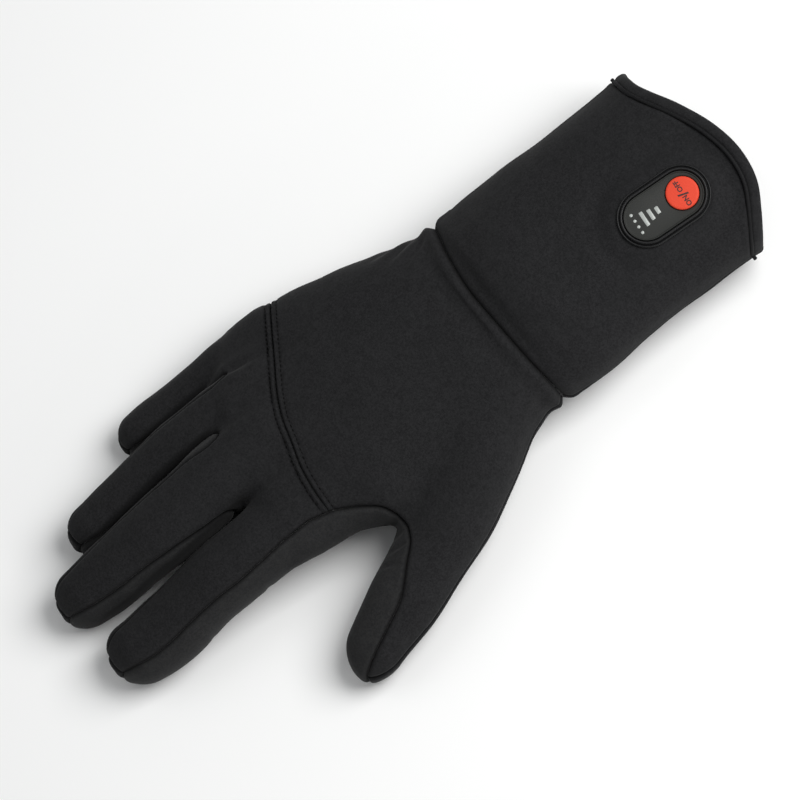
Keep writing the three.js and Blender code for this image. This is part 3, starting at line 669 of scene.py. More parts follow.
    def net_faces(self, inside: np.ndarray, index: np.ndarray, points: np.ndarray) -> np.ndarray:
        """Triangles round each grid edge that the surface crosses.

        Args:
            inside: which grid points are inside.
            index: the number of each cell's point, -1 where it has none.
            points: the cells' points.

        Returns:
            The triangles, facing outwards.
        """
        quads = []
        for axis in range(3):
            u, v = np.eye(3, dtype=int)[(axis + 1) % 3], np.eye(3, dtype=int)[(axis + 2) % 3]
            step = np.eye(3, dtype=int)[axis]
            first = inside[tuple(slice(1 - s, n - 1) for s, n in zip(step, inside.shape))]
            after = inside[tuple(slice(1, n - 1 + s) for s, n in zip(step, inside.shape))]
            at = np.argwhere(first != after) + 1 - step
            ring = [index[tuple(p.T)] for p in (at - u - v, at - v, at, at - u)]
            quad = np.stack(ring, axis=1)
            out = inside[tuple(at.T)]
            quads.append(np.where(out[:, None], quad, quad[:, ::-1]))
        quads = np.concatenate(quads)
        quads = quads[(quads >= 0).all(axis=1)]
        across = np.linalg.norm(points[quads[:, 0]] - points[quads[:, 2]], axis=1)
        other = np.linalg.norm(points[quads[:, 1]] - points[quads[:, 3]], axis=1)
        turned = np.where((across <= other)[:, None], quads, np.roll(quads, -1, axis=1))
        return np.concatenate([turned[:, [0, 1, 2]], turned[:, [0, 2, 3]]])

    def surface(self) -> Sheet:
        """The whole outer face.

        Returns:
            The face as one sheet, with its triangles evened out along the surface.
        """
        self.fill()
        points, faces = self.net()
        edges = np.unique(np.sort(sides(faces), axis=1), axis=0)
        ends = np.concatenate([edges, edges[:, ::-1]])
        degree = np.bincount(ends[:, 0], minlength=len(points))[:, None]
        for _ in range(self.evenings):
            points, normals = self.settle(points)
            near = points[ends[:, 1]]
            total = np.stack([np.bincount(ends[:, 0], near[:, k], len(points)) for k in range(3)], axis=1)
            move = total / degree - points
            move -= normals * (move * normals).sum(axis=1, keepdims=True)
            points = points + 0.5 * move
        points, _ = self.settle(points)
        points, normals = self.settle(points)
        normals /= np.linalg.norm(normals, axis=1, keepdims=True)
        return Sheet(points, normals, faces, np.zeros(len(points), int))


def cuff_section(y: np.ndarray) -> tuple[np.ndarray, np.ndarray, np.ndarray]:
    """The cuff's section.

    Args:
        y: places along.

    Returns:
        Its middle across, its half width and its half height at each place.
    """
    keys = column(CUFF_SECTIONS, CUFF_COLUMNS, "along")
    at = -y / CUFF_LENGTH
    wide, tall, shift = (curve(keys, column(CUFF_SECTIONS, CUFF_COLUMNS, n), at) for n in CUFF_COLUMNS[1:])
    return CUFF_CENTRE_X + shift * CUFF_WIDTH, wide * CUFF_WIDTH / 2, tall * (CUFF_HEIGHT + CUFF_PRESS) / 2


@dataclass(frozen=True)
class Line:
    """A seam's line in a plane, running from -X to +X or round a side strip, with the side that it keeps."""

    points: np.ndarray

    def signed(self, x: np.ndarray, y: np.ndarray) -> np.ndarray:
        """Distance to the line in its plane, above 0 on its left.

        Args:
            x: places across.
            y: places along.

        Returns:
            A signed distance for each place.
        """
        a, b = self.points[:-1], self.points[1:]
        way = b - a
        place = np.stack([x, y], axis=1)
        best, clearest = np.full(len(x), FAR), np.zeros(len(x))
        for start, step in zip(a, way):
            from_start = place - start
            t = np.clip(from_start @ step / (step @ step), 0, 1)
            away = np.linalg.norm(from_start - t[:, None] * step, axis=1)
            side = (step[0] * from_start[:, 1] - step[1] * from_start[:, 0]) / np.hypot(*step)
            same = np.abs(away - np.abs(best)) < 1e-9
            nearer = np.where(same, np.abs(side) > clearest, away < np.abs(best))
            best = np.where(nearer, np.where(side >= 0, away, -away), best)
            clearest = np.where(nearer, np.abs(side), clearest)
        return best


def seen_across(points: np.ndarray) -> np.ndarray:
    """How far across points lie, seen square to the back of the glove."""
    return points @ BACK_ACROSS - BACK_MIDDLE * BACK_ACROSS[2]


def back_point(across: float, along: float) -> Vector:
    """The point at a place on the plane through the hand's middle that faces as its back does."""
    return Vector(BACK_ACROSS * across + (0, along, BACK_MIDDLE))


def palm_line(rows: tuple) -> Line:
    """A seam across the back, from its table of shares."""
    return Line(smooth_line(np.array(rows) * (PALM_WIDTH, PALM_LENGTH), 5))


@dataclass
class Pattern:
    """Where the glove's panels are cut: the lines of the seams, as the photograph shows them."""

    index_near: tuple = (-0.69, -0.6, -0.6)
    index_far: tuple = (0.98, 0.86, 0.74)
    middle_near: tuple = (-0.98, -0.75, -0.62)
    middle_far: tuple = (0.74, 0.86, 0.78)
    ring_near: tuple = (-0.74, -0.78, -0.7)
    ring_far: tuple = (0.76, 0.88, 0.82)
    little_near: tuple = (-0.7, -0.74, -0.64)
    web_least: float = 1.0 * MM
    thumb_far: tuple = (0.35, -0.08, -0.46)
    web_depth: float = 3.2 * MM
    knuckle: Line = field(default_factory=lambda: palm_line(KNUCKLE_SEAM))
    wrist: Line = field(default_factory=lambda: palm_line(WRIST_SEAM))
    gap: float = 0.04 * MM

    # The crotch of the thumb, and the bottom of each web between two fingers, in shares of the palm
    THUMB_WEB = ((-0.64, 0.72), (-0.56, 0.66), (-0.5, 0.645), (-0.41, 0.662), (-0.345, 0.715), (-0.29, 0.79))
    WEBS = ((-0.012, 1.02), (0.288, 0.935), (0.485, 0.8))
    # A web's outline, in half widths and depths
    WEB_TURN = ((-1.0, 0.6), (-0.72, 0.12), (0.0, -0.1), (0.72, 0.12), (1.0, 0.6))

    def strips(self) -> dict[str, Line]:
        """The outlines of the side strips.

        Returns:
            For each strip's name its outline in plan, with the strip on the line's left.
        """
        pairs = {
            "fourchette_index_middle": (INDEX, self.index_far, MIDDLE, self.middle_near, self.WEBS[0]),
            "fourchette_middle_ring": (MIDDLE, self.middle_far, RING, self.ring_near, self.WEBS[1]),
            "fourchette_ring_little": (RING, self.ring_far, LITTLE, self.little_near, self.WEBS[2]),
        }
        lines = {}
        thumb = THUMB.seam(self.thumb_far)[4:]
        crotch = np.array(self.THUMB_WEB) * (PALM_WIDTH, PALM_LENGTH)
        index = INDEX.seam(self.index_near)[1:]
        lines["fourchette_thumb_index"] = Line(smooth_line(np.concatenate([thumb[::-1], crotch, index]), 4))
        for name, (left, left_share, right, right_share, web) in pairs.items():
            down, up = left.seam(left_share)[::-1], right.seam(right_share)
            foot = np.array(web) * (PALM_WIDTH, PALM_LENGTH)
            half = max((up[0, 0] - down[-1, 0]) / 2, self.web_least)
            turn = np.array(self.WEB_TURN) * (half, self.web_depth) + foot
            down, up = (seam[seam[:, 1] > foot[1] + 2 * self.web_depth] for seam in (down, up))
            lines[name] = Line(smooth_line(np.concatenate([down, turn, up]), 4))
        return lines

    def side_height(self, points: np.ndarray) -> np.ndarray:
        """Heights above the seam between back and palm.

        Args:
            points: one row a point.

        Returns:
            How far each point lies above the seam.
        """
        table = np.array(SIDE_SEAM)
        along, share = points[:, 1] / PALM_LENGTH, points[:, 0] / PALM_WIDTH
        thumb, middle, little = (curve(table[:, 0], table[:, k], along) for k in (1, 2, 3))
        to_thumb, to_little = smooth_step(-share, 0.36, 0.5), smooth_step(share, 0.4, 0.6)
        height = middle + (thumb - middle) * to_thumb + (little - middle) * to_little
        return points[:, 2] - height * PALM_HEIGHT

    def hem_distance(self, points: np.ndarray) -> np.ndarray:
        """How far points lie on the hand's side of the cuff's piped seam, seen square to the back."""
        return hem_line().signed(seen_across(points), points[:, 1])

    def cuff_height(self, points: np.ndarray) -> np.ndarray:
        """Heights above the cuff's side seams.

        Args:
            points: one row a point.

        Returns:
            How far each point lies above the tilted plane through both seams.
        """
        tilt = cuff_seam_tilt()
        beside, up = points[:, 0] - CUFF_CENTRE_X, points[:, 2] - CUFF_HEIGHT / 2
        return up * math.cos(tilt) - beside * math.sin(tilt)


def cuff_seam_tilt() -> float:
    """How far the plane of the cuff's side seams leans, so that they are its edges from the back."""
    return math.atan2(CUFF_HEIGHT**2 * math.tan(BACK_FACING), CUFF_WIDTH**2)


def hem_frame() -> tuple[float, float]:
    """The cuff's end, seen square to the back.

    Returns:
        Its middle and its half width.
    """
    half = math.hypot(CUFF_WIDTH / 2 * BACK_ACROSS[0], CUFF_HEIGHT / 2 * BACK_ACROSS[2])
    rise = CUFF_HEIGHT / 2 - BACK_MIDDLE
    return CUFF_CENTRE_X * BACK_ACROSS[0] + rise * BACK_ACROSS[2], half


def hem_line() -> Line:
    """The piped seam near the cuff's end.

    Returns:
        Its line, seen square to the back, with the hand on its left.
    """
    middle, half = hem_frame()
    rows = [(-1.3, 0.0), *HEM_CURVE, (1.3, 0.0)]
    points = [(middle + a * half, -HEM_START - r * HEM_REACH) for a, r in rows]
    return Line(smooth_line(np.array(points), 5))


@dataclass(frozen=True)
class Fold:
    """A crease or a soft ridge along a line in plan, on one face of the glove."""

    start: tuple[float, float]
    end: tuple[float, float]
    depth: float
    width: float
    upper: bool = True

    def lift(self, points: np.ndarray, normals: np.ndarray) -> np.ndarray:
        """How far each point moves outwards, a valley being less than 0.

        Args:
            points: the cloth's points.
            normals: their outward directions.

        Returns:
            One distance a point.
        """
        a, b = np.array(self.start) * MM, np.array(self.end) * MM
        step = b - a
        place = points[:, :2] - a
        t = np.clip(place @ step / (step @ step), 0, 1)
        away = np.linalg.norm(place - t[:, None] * step, axis=1) / (self.width * MM)
        taper = np.sin(np.pi * np.clip(0.08 + 0.84 * t, 0, 1))
        shape = (1 - 0.9 * away**2) * np.exp(-(away**2))
        facing = smooth_step(normals[:, 2] * (1 if self.upper else -1), -0.15, 0.35)
        return -self.depth * MM * shape * taper * facing


# The folds that the photograph shows: at the foot of each web, at the thumb's crotch and at the wrist's outer
# end; and, where it doesn't reach, those that a bent hand gives the palm. Millimetres from the wrist seam's
# middle.
FOLDS = (
    Fold((-0.8, 132.0), (-0.6, 112.0), 1.2, 2.4),
    Fold((-0.8, 124.0), (-0.5, 99.0), 0.8, 3.6),
    Fold((26.4, 114.0), (25.5, 93.0), 0.7, 3.2),
    Fold((46.5, 104.0), (43.0, 86.0), 1.1, 2.4),
    Fold((45.5, 97.0), (40.0, 75.0), 0.8, 3.2),
    Fold((-45.5, 84.0), (-48.5, 70.0), 0.6, 1.5),
    Fold((-41.5, 84.0), (-41.5, 71.0), 0.5, 1.5),
    Fold((-49.0, 88.0), (-53.0, 77.0), 0.7, 1.4),
    Fold((-52.0, 93.0), (-58.0, 85.0), 0.6, 1.4),
    Fold((-37.0, 88.0), (-35.0, 78.0), 0.4, 1.6),
    Fold((43.5, 6.0), (37.5, 22.0), 1.0, 2.2),
    Fold((38.5, 4.0), (31.0, 19.0), 0.8, 2.0),
    Fold((46.5, 10.0), (43.5, 27.0), 0.9, 2.2),
    Fold((33.0, 5.0), (28.0, 13.0), 0.5, 1.8),
    Fold((-40.0, 5.0), (-44.0, 16.0), 0.6, 2.0),
    Fold((-31.0, -92.5), (-9.0, -95.5), 0.8, 2.8),
    Fold((-36.0, 62.0), (-12.0, 12.0), 1.4, 4.2, False),
    Fold((-34.0, 70.0), (24.0, 60.0), 1.1, 3.6, False),
    Fold((-6.0, 74.0), (44.0, 66.0), 1.0, 3.2, False),
    Fold((-30.0, 104.0), (-3.0, 104.0), 0.9, 2.2, False),
    Fold((-30.0, 130.0), (-3.0, 130.0), 0.9, 2.0, False),
    Fold((-29.0, 158.0), (-4.0, 158.0), 0.7, 1.8, False),
    Fold((1.0, 108.0), (28.0, 108.0), 0.9, 2.2, False),
    Fold((1.0, 136.0), (27.0, 136.0), 0.9, 2.0, False),
    Fold((2.0, 162.0), (27.0, 162.0), 0.7, 1.8, False),
    Fold((26.0, 100.0), (47.0, 100.0), 0.9, 2.0, False),
    Fold((26.0, 124.0), (47.0, 124.0), 0.8, 1.8, False),
    Fold((27.0, 146.0), (46.0, 146.0), 0.6, 1.6, False),
    Fold((43.0, 88.0), (61.0, 86.0), 0.8, 1.8, False),
    Fold((45.0, 106.0), (63.0, 105.0), 0.7, 1.6, False),
    Fold((-70.0, 82.0), (-46.0, 94.0), 0.9, 2.2, False),
    Fold((-30.0, 9.0), (-6.0, 5.0), 0.8, 2.2, False),
    Fold((6.0, 6.0), (34.0, 9.0), 0.8, 2.2, False),
    Fold((-26.0, 16.0), (16.0, 14.0), 0.6, 2.4, False),
)


@dataclass(frozen=True)
class Wave:
    """One slow wave of the cloth's surface: its direction, its length and how far it rises."""

    way: tuple[float, float, float]
    length: float
    rise: float
    start: float

    def lift(self, points: np.ndarray) -> np.ndarray:
        """How far each point moves outwards."""
        turn = points @ np.array(self.way) * (2 * math.pi / (self.length * MM)) + self.start
        return self.rise * MM * np.sin(turn)


WAVES = (
    Wave((0.6, 0.75, 0.3), 47, 0.28, 0.4),
    Wave((-0.8, 0.5, 0.3), 38, 0.24, 1.9),
    Wave((0.25, -0.9, 0.35), 29, 0.18, 3.1),
    Wave((0.95, 0.1, -0.3), 21, 0.12, 5.2),
    Wave((-0.4, -0.7, 0.6), 15, 0.08, 2.6),
)


@dataclass
class Tailor:
    """Turns a cut piece of the outer face into a panel of padded cloth: rolled in at its seams, softly
    creased, with its own thickness."""

    module: "ModulePlace"
    form: Form
    groove: float = 1.05 * MM
    groove_width: float = 1.4 * MM
    puff: float = 0.22 * MM
    wrist_groove: float = 1.3 * MM
    wrist_width: float = 2.2 * MM
    wrist_corner: float = 1.6 * MM
    wrist_welt: float = 0.55 * MM  # the hand's cloth stands up beside the seam and sinks behind that
    welt_at: float = 2.6 * MM
    ridge: float = 1.1 * MM  # of the cloth beside the knuckle seam, up to its topstitching
    ridge_at: float = 1.1 * MM
    ridge_fade: float = 7 * MM
    slot: float = 0.4 * MM
    stitch_at: float = 2.2 * MM
    calm: float = 3 * MM  # how far from a seam the folds and waves reach their full depth
    rest_heights: tuple = (0.5 * MM, 3 * MM)  # below the first nothing moves, above the second all does
    hem_roll: float = 0.85 * MM
    hem_width: float = 1.3 * MM
    reach: float = 16 * MM
    rim_step: float = 0.12 * MM
    # painted shade: how far it looks and how dark it paints the cloth in the crevices between the fingers, at
    # the seams, in the knuckle seam's slot and along the topstitching rows
    crevice_look: float = 5 * MM
    crevice_shade: float = 0.62
    seam_look: float = 1.1 * MM
    slot_look: float = 0.5 * MM
    slot_shade: float = 0.6
    stitch_row_shade: float = 0.5
    pad_top: float = 1.35 * MM  # the cloth's height under the control, in the control's frame
    pad_margin: float = 8.5 * MM
    pad_dip: float = 0.9 * MM
    pad_reach: float = 12 * MM  # how far below the control the cloth still belongs to its side of the cuff

    def away(self, sheet: Sheet, seam: Seam) -> np.ndarray:
        """How far each point lies from a kind of seam.

        Args:
            sheet: the cut piece.
            seam: which seam.

        Returns:
            One distance a point, FAR where none is near.
        """
        rim = sheet.rim()
        rim = rim[(sheet.seams[rim] == seam.value).all(axis=1)]
        distance = np.full(len(sheet.points), FAR)
        if len(rim) == 0:
            return distance
        a, b = sheet.points[rim[:, 0]], sheet.points[rim[:, 1]]
        pieces = np.maximum(np.ceil(np.linalg.norm(b - a, axis=1) / self.rim_step).astype(int), 1)
        owner = np.repeat(np.arange(len(rim)), pieces)
        first = np.repeat(np.cumsum(pieces) - pieces, pieces)
        t = (np.arange(len(owner)) - first) / np.repeat(pieces, pieces)
        samples = a[owner] + t[:, None] * (b - a)[owner]
        tree = KDTree(len(samples))
        for i, point in enumerate(samples):
            tree.insert(point, i)
        tree.balance()
        low, high = samples.min(axis=0) - self.reach, samples.max(axis=0) + self.reach
        close = np.nonzero(((sheet.points > low) & (sheet.points < high)).all(axis=1))[0]
        distance[close] = [tree.find(p)[2] for p in sheet.points[close].tolist()]
        return distance

    def rolled(self, away: np.ndarray, depth: float, width: float) -> np.ndarray:
        """The roll of a panel's edge into its seam, with a slight swelling beside it.

        Args:
            away: distances from the seam.
            depth: how deep the edge rolls in.
            width: how far from the seam the roll starts.

        Returns:
            How far each point moves outwards.
        """
        share = np.clip(1 - away / width, 0, 1)
        swell = np.exp(-(((away - 1.5 * width) / width) ** 2))
        return self.puff * swell - depth * share**2

    def relief(self, sheet: Sheet, distances: dict[Seam, np.ndarray]) -> np.ndarray:
        """How far each point moves outwards for the seams, folds and the control's seat.

        Args:
            sheet: the cut piece.
            distances: how far its points lie from each kind of seam.

        Returns:
            One distance a point.
        """
        plain = np.minimum(distances[Seam.STRIP], distances[Seam.SIDE])
        lift = self.rolled(plain, self.groove, self.groove_width)
        wrist = distances[Seam.WRIST]
        side = smooth_step(np.abs(sheet.normals[:, 0]), 0.75, 1.0)
        lift += self.rolled(wrist, self.wrist_groove, self.wrist_width)
        if sheet.points[:, 1].mean() > 0:
            lift += self.wrist_welt * np.exp(-(((wrist - self.welt_at) / (0.6 * self.welt_at)) ** 2))
            lift -= self.wrist_welt * np.exp(-(((wrist - 3 * self.welt_at) / (1.2 * self.welt_at)) ** 2))
        lift -= self.wrist_corner * side * np.clip(1 - wrist / (2.2 * self.wrist_width), 0, 1) ** 2
        lift += self.rolled(distances[Seam.HEM], self.hem_roll, self.hem_width)
        lift += self.rolled(distances[Seam.EDGE], self.hem_roll, self.hem_width)
        knuckle = distances[Seam.KNUCKLE]
        ridges = self.ridge * np.exp(-(((knuckle - self.ridge_at) / (0.62 * self.ridge_at)) ** 2))
        line = 0.4 * self.ridge * np.exp(-(((knuckle - self.stitch_at) / (0.45 * self.ridge_at)) ** 2))
        ridges *= smooth_step(plain, 0, self.ridge_fade) * smooth_step(sheet.normals @ BACK_OUT, 0.05, 0.6)
        lift += ridges - line - 0.5 * self.ridge * np.clip(1 - knuckle / self.slot, 0, 1)
        calm = smooth_step(np.minimum(plain, knuckle), 0, self.calm)
        folds = sum(fold.lift(sheet.points, sheet.normals) for fold in FOLDS)
        waves = sum(wave.lift(sheet.points) for wave in WAVES)
        lift += folds * (0.4 + 0.6 * calm) + waves * (0.3 + 0.7 * calm)
        return lift * smooth_step(sheet.points[:, 2], *self.rest_heights)

    def seated(self, points: np.ndarray) -> np.ndarray:
        """The cloth raised to the control's seat.

        Args:
            points: one row a point.

        Returns:
            The points, moved along the control's own way out.
        """
        local = self.module.into(points)
        outside = self.module.outside(local)
        rise = (self.pad_top - local[:, 2]) * (1 - smooth_step(outside, 0, self.pad_margin))
        rise -= self.pad_dip * np.exp(-(((outside - self.pad_margin) / (0.5 * self.pad_margin)) ** 2))
        rise *= local[:, 2] > -self.pad_reach
        return points + np.array(self.module.normal()) * rise[:, None]

    def panel(self, name: str, sheet: Sheet, shift: np.ndarray) -> bpy.types.Object:
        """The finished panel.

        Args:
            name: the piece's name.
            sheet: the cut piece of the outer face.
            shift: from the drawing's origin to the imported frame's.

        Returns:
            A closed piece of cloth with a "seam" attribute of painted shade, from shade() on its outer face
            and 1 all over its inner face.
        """
        distances = {seam: self.away(sheet, seam) for seam in Seam}
        outer = self.seated(sheet.points + sheet.normals * self.relief(sheet, distances)[:, None])
        edge = np.minimum(distances[Seam.EDGE], distances[Seam.HEM])
        thin = self.hem_roll * np.clip(1 - edge / self.hem_width, 0, 1) ** 2
        inner = self.seated(sheet.points) - sheet.normals * (WALL - thin)[:, None]
        outer[:, 2] = np.maximum(outer[:, 2], 0)
        count = len(outer)
        rim = sheet.rim()
        walls = np.concatenate([
            np.stack([rim[:, 1], rim[:, 0], rim[:, 0] + count], axis=1),
            np.stack([rim[:, 1], rim[:, 0] + count, rim[:, 1] + count], axis=1),
        ])
        faces = np.concatenate([sheet.faces, sheet.faces[:, ::-1] + count, walls])
        piece = mesh_piece(name, np.concatenate([outer, inner]) + shift, faces)
        # painted shade: the inner face is painted fully dark, as shade inside the glove and in the gaps
        # between panels
        set_attribute(piece, "seam", np.concatenate([self.shade(sheet, distances), np.ones(count)]))
        return piece

    def shade(self, sheet: Sheet, distances: dict[Seam, np.ndarray]) -> np.ndarray:
        """The painted shade of the cloth: in its seam grooves, along the topstitching, in the knuckle seam's
        slot and in the crevices between the fingers.

        Args:
            sheet: the cut piece.
            distances: how far its points lie from each kind of seam.

        Returns:
            One share of painted shade a point, 1 being the full shade colour.
        """
        nearest = np.minimum.reduce([distances[s] for s in (Seam.STRIP, Seam.SIDE, Seam.WRIST, Seam.HEM)])
        knuckle = distances[Seam.KNUCKLE]
        # painted crevice shade: the field a little way out along the normal is small where another part of
        # the glove lies close
        room = self.form.sample(sheet.points + sheet.normals * self.crevice_look) / self.crevice_look
        return np.maximum.reduce([
            np.clip(1 - nearest / self.seam_look, 0, 1),
            self.stitch_row_shade * np.exp(-(((knuckle - self.stitch_at) / self.slot_look) ** 2)),
            self.slot_shade * np.clip(1 - knuckle / self.slot_look, 0, 1),
            self.crevice_shade * smooth_step(-room, -0.8, -0.2),
        ])


def put(name: str, data: bpy.types.ID) -> bpy.types.Object:
    """A new object in the scene, at the origin.

    Args:
        name: its name.
        data: its mesh, curve, light or camera.

    Returns:
        The object.
    """
    piece = bpy.data.objects.new(name, data)
    bpy.context.scene.collection.objects.link(piece)
    return piece


def mesh_piece(
    name: str, points: np.ndarray, faces: np.ndarray | list, smooth: bool = True
) -> bpy.types.Object:
    """A mesh object at the origin.

    Args:
        name: the piece's name.
        points: one row a point.
        faces: the corners of each face.
        smooth: whether its faces are shaded smooth.

    Returns:
        The object, in the scene.
    """
    mesh = bpy.data.meshes.new(name)
    mesh.from_pydata(np.asarray(points).tolist(), [], [list(map(int, f)) for f in faces])
    mesh.validate()
    if smooth:
        mesh.shade_smooth()
    else:
        mesh.shade_flat()
    return put(name, mesh)


def set_attribute(piece: bpy.types.Object, name: str, values: np.ndarray) -> None:
    """Stores a number at each point of a piece, for its material to read."""
    attribute = piece.data.attributes.new(name, "FLOAT", "POINT")
    attribute.data.foreach_set("value", np.asarray(values, np.float32))


@dataclass
class ModulePlace:
    """Where the control sits: its own frame has +Z out of the cloth and +Y towards the fingers."""

    length: float = 37.6 * MM
    width: float = 22.6 * MM
    lean: float = math.radians(-4)
    across: float = -6.9 * MM
    along: float = -71.7 * MM
    seat: float = 1.2 * MM
    bezel_height: float = 2.2 * MM
    nudge: tuple = (-0.45 * MM, 0.85 * MM)  # from the solids' place to where the photograph shows it
    rounds: int = 20  # tries that find the place across, as it is given square to the back

    def top(self, x: float) -> float:
        """The cuff's height at a place across it."""
        share = (x - CUFF_CENTRE_X) / (CUFF_WIDTH / 2)
        return CUFF_HEIGHT / 2 + CUFF_HEIGHT / 2 * math.sqrt(1 - share * share)

    def matrix(self) -> Matrix:
        """From the control's frame to the drawing's."""
        return self.solid_matrix() @ Matrix.Translation((*self.nudge, 0))

    def solid_matrix(self) -> Matrix:
        """The place of the control's solids.

        Returns:
            From their own frame to the drawing's.
        """
        x = self.across
        for _ in range(self.rounds):
            x = (self.across - (self.top(x) - BACK_MIDDLE) * BACK_ACROSS[2]) / BACK_ACROSS[0]
        tilt = math.atan2(self.top(x - MM) - self.top(x + MM), 2 * MM)
        turn = Matrix.Rotation(tilt, 4, "Y") @ Matrix.Rotation(self.lean, 4, "Z")
        return Matrix.Translation((x, self.along, self.top(x))) @ turn

    def normal(self) -> Vector:
        """The way out of the cloth under the control."""
        return self.matrix().col[2].xyz

    def into(self, points: np.ndarray) -> np.ndarray:
        """Points of the drawing, in the control's frame."""
        back = np.array(self.matrix().inverted())
        return points @ back[:3, :3].T + back[:3, 3]

    def outside(self, local: np.ndarray) -> np.ndarray:
        """How far points lie outside the control's outline.

        Args:
            local: points in the control's frame.

        Returns:
            One distance a point, less than 0 inside the outline.
        """
        radius = self.width / 2
        straight = self.length / 2 - radius
        return np.hypot(local[:, 0], np.maximum(np.abs(local[:, 1]) - straight, 0)) - radius

    def shift(self) -> Vector:
        """From the drawing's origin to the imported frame's, by where the frame has the bezel.

        Returns:
            The way, level with the floor.
        """
        low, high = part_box("controller_bezel")
        middle = self.solid_matrix() @ Vector((0, 0, self.seat + self.bezel_height / 2))
        moved = (low + high) / 2 - middle
        return Vector((moved.x, moved.y, 0))


def linear(hex_colour: str) -> tuple[float, float, float, float]:
    """An sRGB hex colour as linear light."""
    parts = [int(hex_colour[i : i + 2], 16) / 255 for i in (1, 3, 5)]
    return (*(p / 12.92 if p <= 0.04045 else ((p + 0.055) / 1.055) ** 2.4 for p in parts), 1.0)


def node(tree: bpy.types.NodeTree, kind: str, inputs: dict | None = None, **settings) -> bpy.types.Node:
    """Adds a node.

    Args:
        tree: the tree that it goes in.
        kind: the node's type name.
        inputs: for each input, by name or number, a value or the socket that feeds it.
        **settings: the node's own settings.

    Returns:
        The node.
    """
    added = tree.nodes.new(kind)
    for name, value in settings.items():
        setattr(added, name, value)
    for key, value in (inputs or {}).items():
        if isinstance(value, bpy.types.NodeSocket):
            tree.links.new(value, added.inputs[key])
        else:
            added.inputs[key].default_value = value
    return added


def new_material(
    name: str, roughness: float, gloss: float
) -> tuple[bpy.types.Material, bpy.types.NodeTree, bpy.types.Node]:
    """A material with a plain shader.

    Args:
        name: its name.
        roughness: how matt it is.
        gloss: its specular level.

    Returns:
        The material, its tree and its shader.
    """
    material = bpy.data.materials.new(name)
    material.use_nodes = True
    shader = material.node_tree.nodes["Principled BSDF"]
    shader.inputs["Roughness"].default_value = roughness
    shader.inputs["Specular IOR Level"].default_value = gloss
    return material, material.node_tree, shader


@dataclass(frozen=True)
class Softshell:
    """Brushed polyester softshell, knitted fine and matt: near black, faintly mottled where the nap lies
    differently, with a soft sheen at grazing angles, and with painted shade where its "seam" attribute is
    high."""

    name: str
    dark: str = "#161617"
    light: str = "#232324"
    # the colour of the painted shade at the seams, the stitch rows, the crevices and on the inner face
    seam: str = "#030303"
    sheen: float = 0.03
    roughness: float = 0.92
    mottle_mm: float = 3.2
    mottle_share: float = 0.45
    nap_mm: float = 0.9
    speck_mm: float = 0.42  # the knit's loops are about 0.25 mm, drawn coarser so that they show
    bump_mm: float = 0.05

    def build(self) -> bpy.types.Material:
        """Makes the material.

        Returns:
            The new material, its colour and relief drawn by noise.
        """
        material, tree, shader = new_material(self.name, self.roughness, 0.16)
        place = node(tree, "ShaderNodeTexCoord").outputs["Object"]
        mottle, nap, speck = (
            node(tree, "ShaderNodeTexNoise", {"Vector": place, "Scale": 1000 / mm, "Detail": fine}).outputs[0]
            for mm, fine in ((self.mottle_mm, 4.0), (self.nap_mm, 3.0), (self.speck_mm, 2.0))
        )
        grain = node(tree, "ShaderNodeMath", {0: nap, 1: speck}, operation="ADD").outputs[0]
        inputs = {0: mottle, 1: self.mottle_share, 2: grain}
        total = node(tree, "ShaderNodeMath", inputs, operation="MULTIPLY_ADD").outputs[0]
        tone = node(tree, "ShaderNodeMapRange", {"Value": total, "From Min": 0.98, "From Max": 1.46})
        inputs = {"Factor": tone.outputs[0], "A": linear(self.dark), "B": linear(self.light)}
        cloth = node(tree, "ShaderNodeMix", inputs, data_type="RGBA")
        # painted shade: the "seam" attribute mixes the shade colour into the cloth
        edge = node(tree, "ShaderNodeAttribute", attribute_name="seam")
        inputs = {"Factor": edge.outputs["Fac"], "A": cloth.outputs["Result"], "B": linear(self.seam)}
        colour = node(tree, "ShaderNodeMix", inputs, data_type="RGBA")
        inputs = {"Height": grain, "Strength": 0.55, "Distance": self.bump_mm * MM}
        bump = node(tree, "ShaderNodeBump", inputs)
        tree.links.new(colour.outputs["Result"], shader.inputs["Base Color"])
        tree.links.new(bump.outputs["Normal"], shader.inputs["Normal"])
        shader.inputs["Sheen Weight"].default_value = self.sheen
        shader.inputs["Sheen Roughness"].default_value = 0.5
        return material


@dataclass(frozen=True)
class Moulded:
    """A moulded plastic or rubber surface: one colour, a very fine grain and a satin to matt gloss."""

    name: str
    colour: str
    shade: str
    roughness: float
    gloss: float = 0.5
    grain_mm: float = 0.25
    cloud_mm: float = 20 / 3
    bump_mm: float = 0.01

    def build(self) -> bpy.types.Material:
        """Makes the material.

        Returns:
            The new material, its colour and relief drawn by noise.
        """
        material, tree, shader = new_material(self.name, self.roughness, self.gloss)
        place = node(tree, "ShaderNodeTexCoord").outputs["Object"]
        grain, cloud = (
            node(tree, "ShaderNodeTexNoise", {"Vector": place, "Scale": 1000 / mm, "Detail": fine}).outputs[0]
            for mm, fine in ((self.grain_mm, 2.0), (self.cloud_mm, 1.0))
        )
        inputs = {"Factor": cloud, "A": linear(self.colour), "B": linear(self.shade)}
        colour = node(tree, "ShaderNodeMix", inputs, data_type="RGBA")
        bump = node(tree, "ShaderNodeBump", {"Height": grain, "Strength": 0.4, "Distance": self.bump_mm * MM})
        tree.links.new(colour.outputs["Result"], shader.inputs["Base Color"])
        tree.links.new(bump.outputs["Normal"], shader.inputs["Normal"])
        return material


# Polyester softshell, knitted fine and brushed on its face: the raised fibre ends lie every way, so it is
# near black and matt, with a faint mottle
BLACK_CLOTH = Softshell("softshell_black")
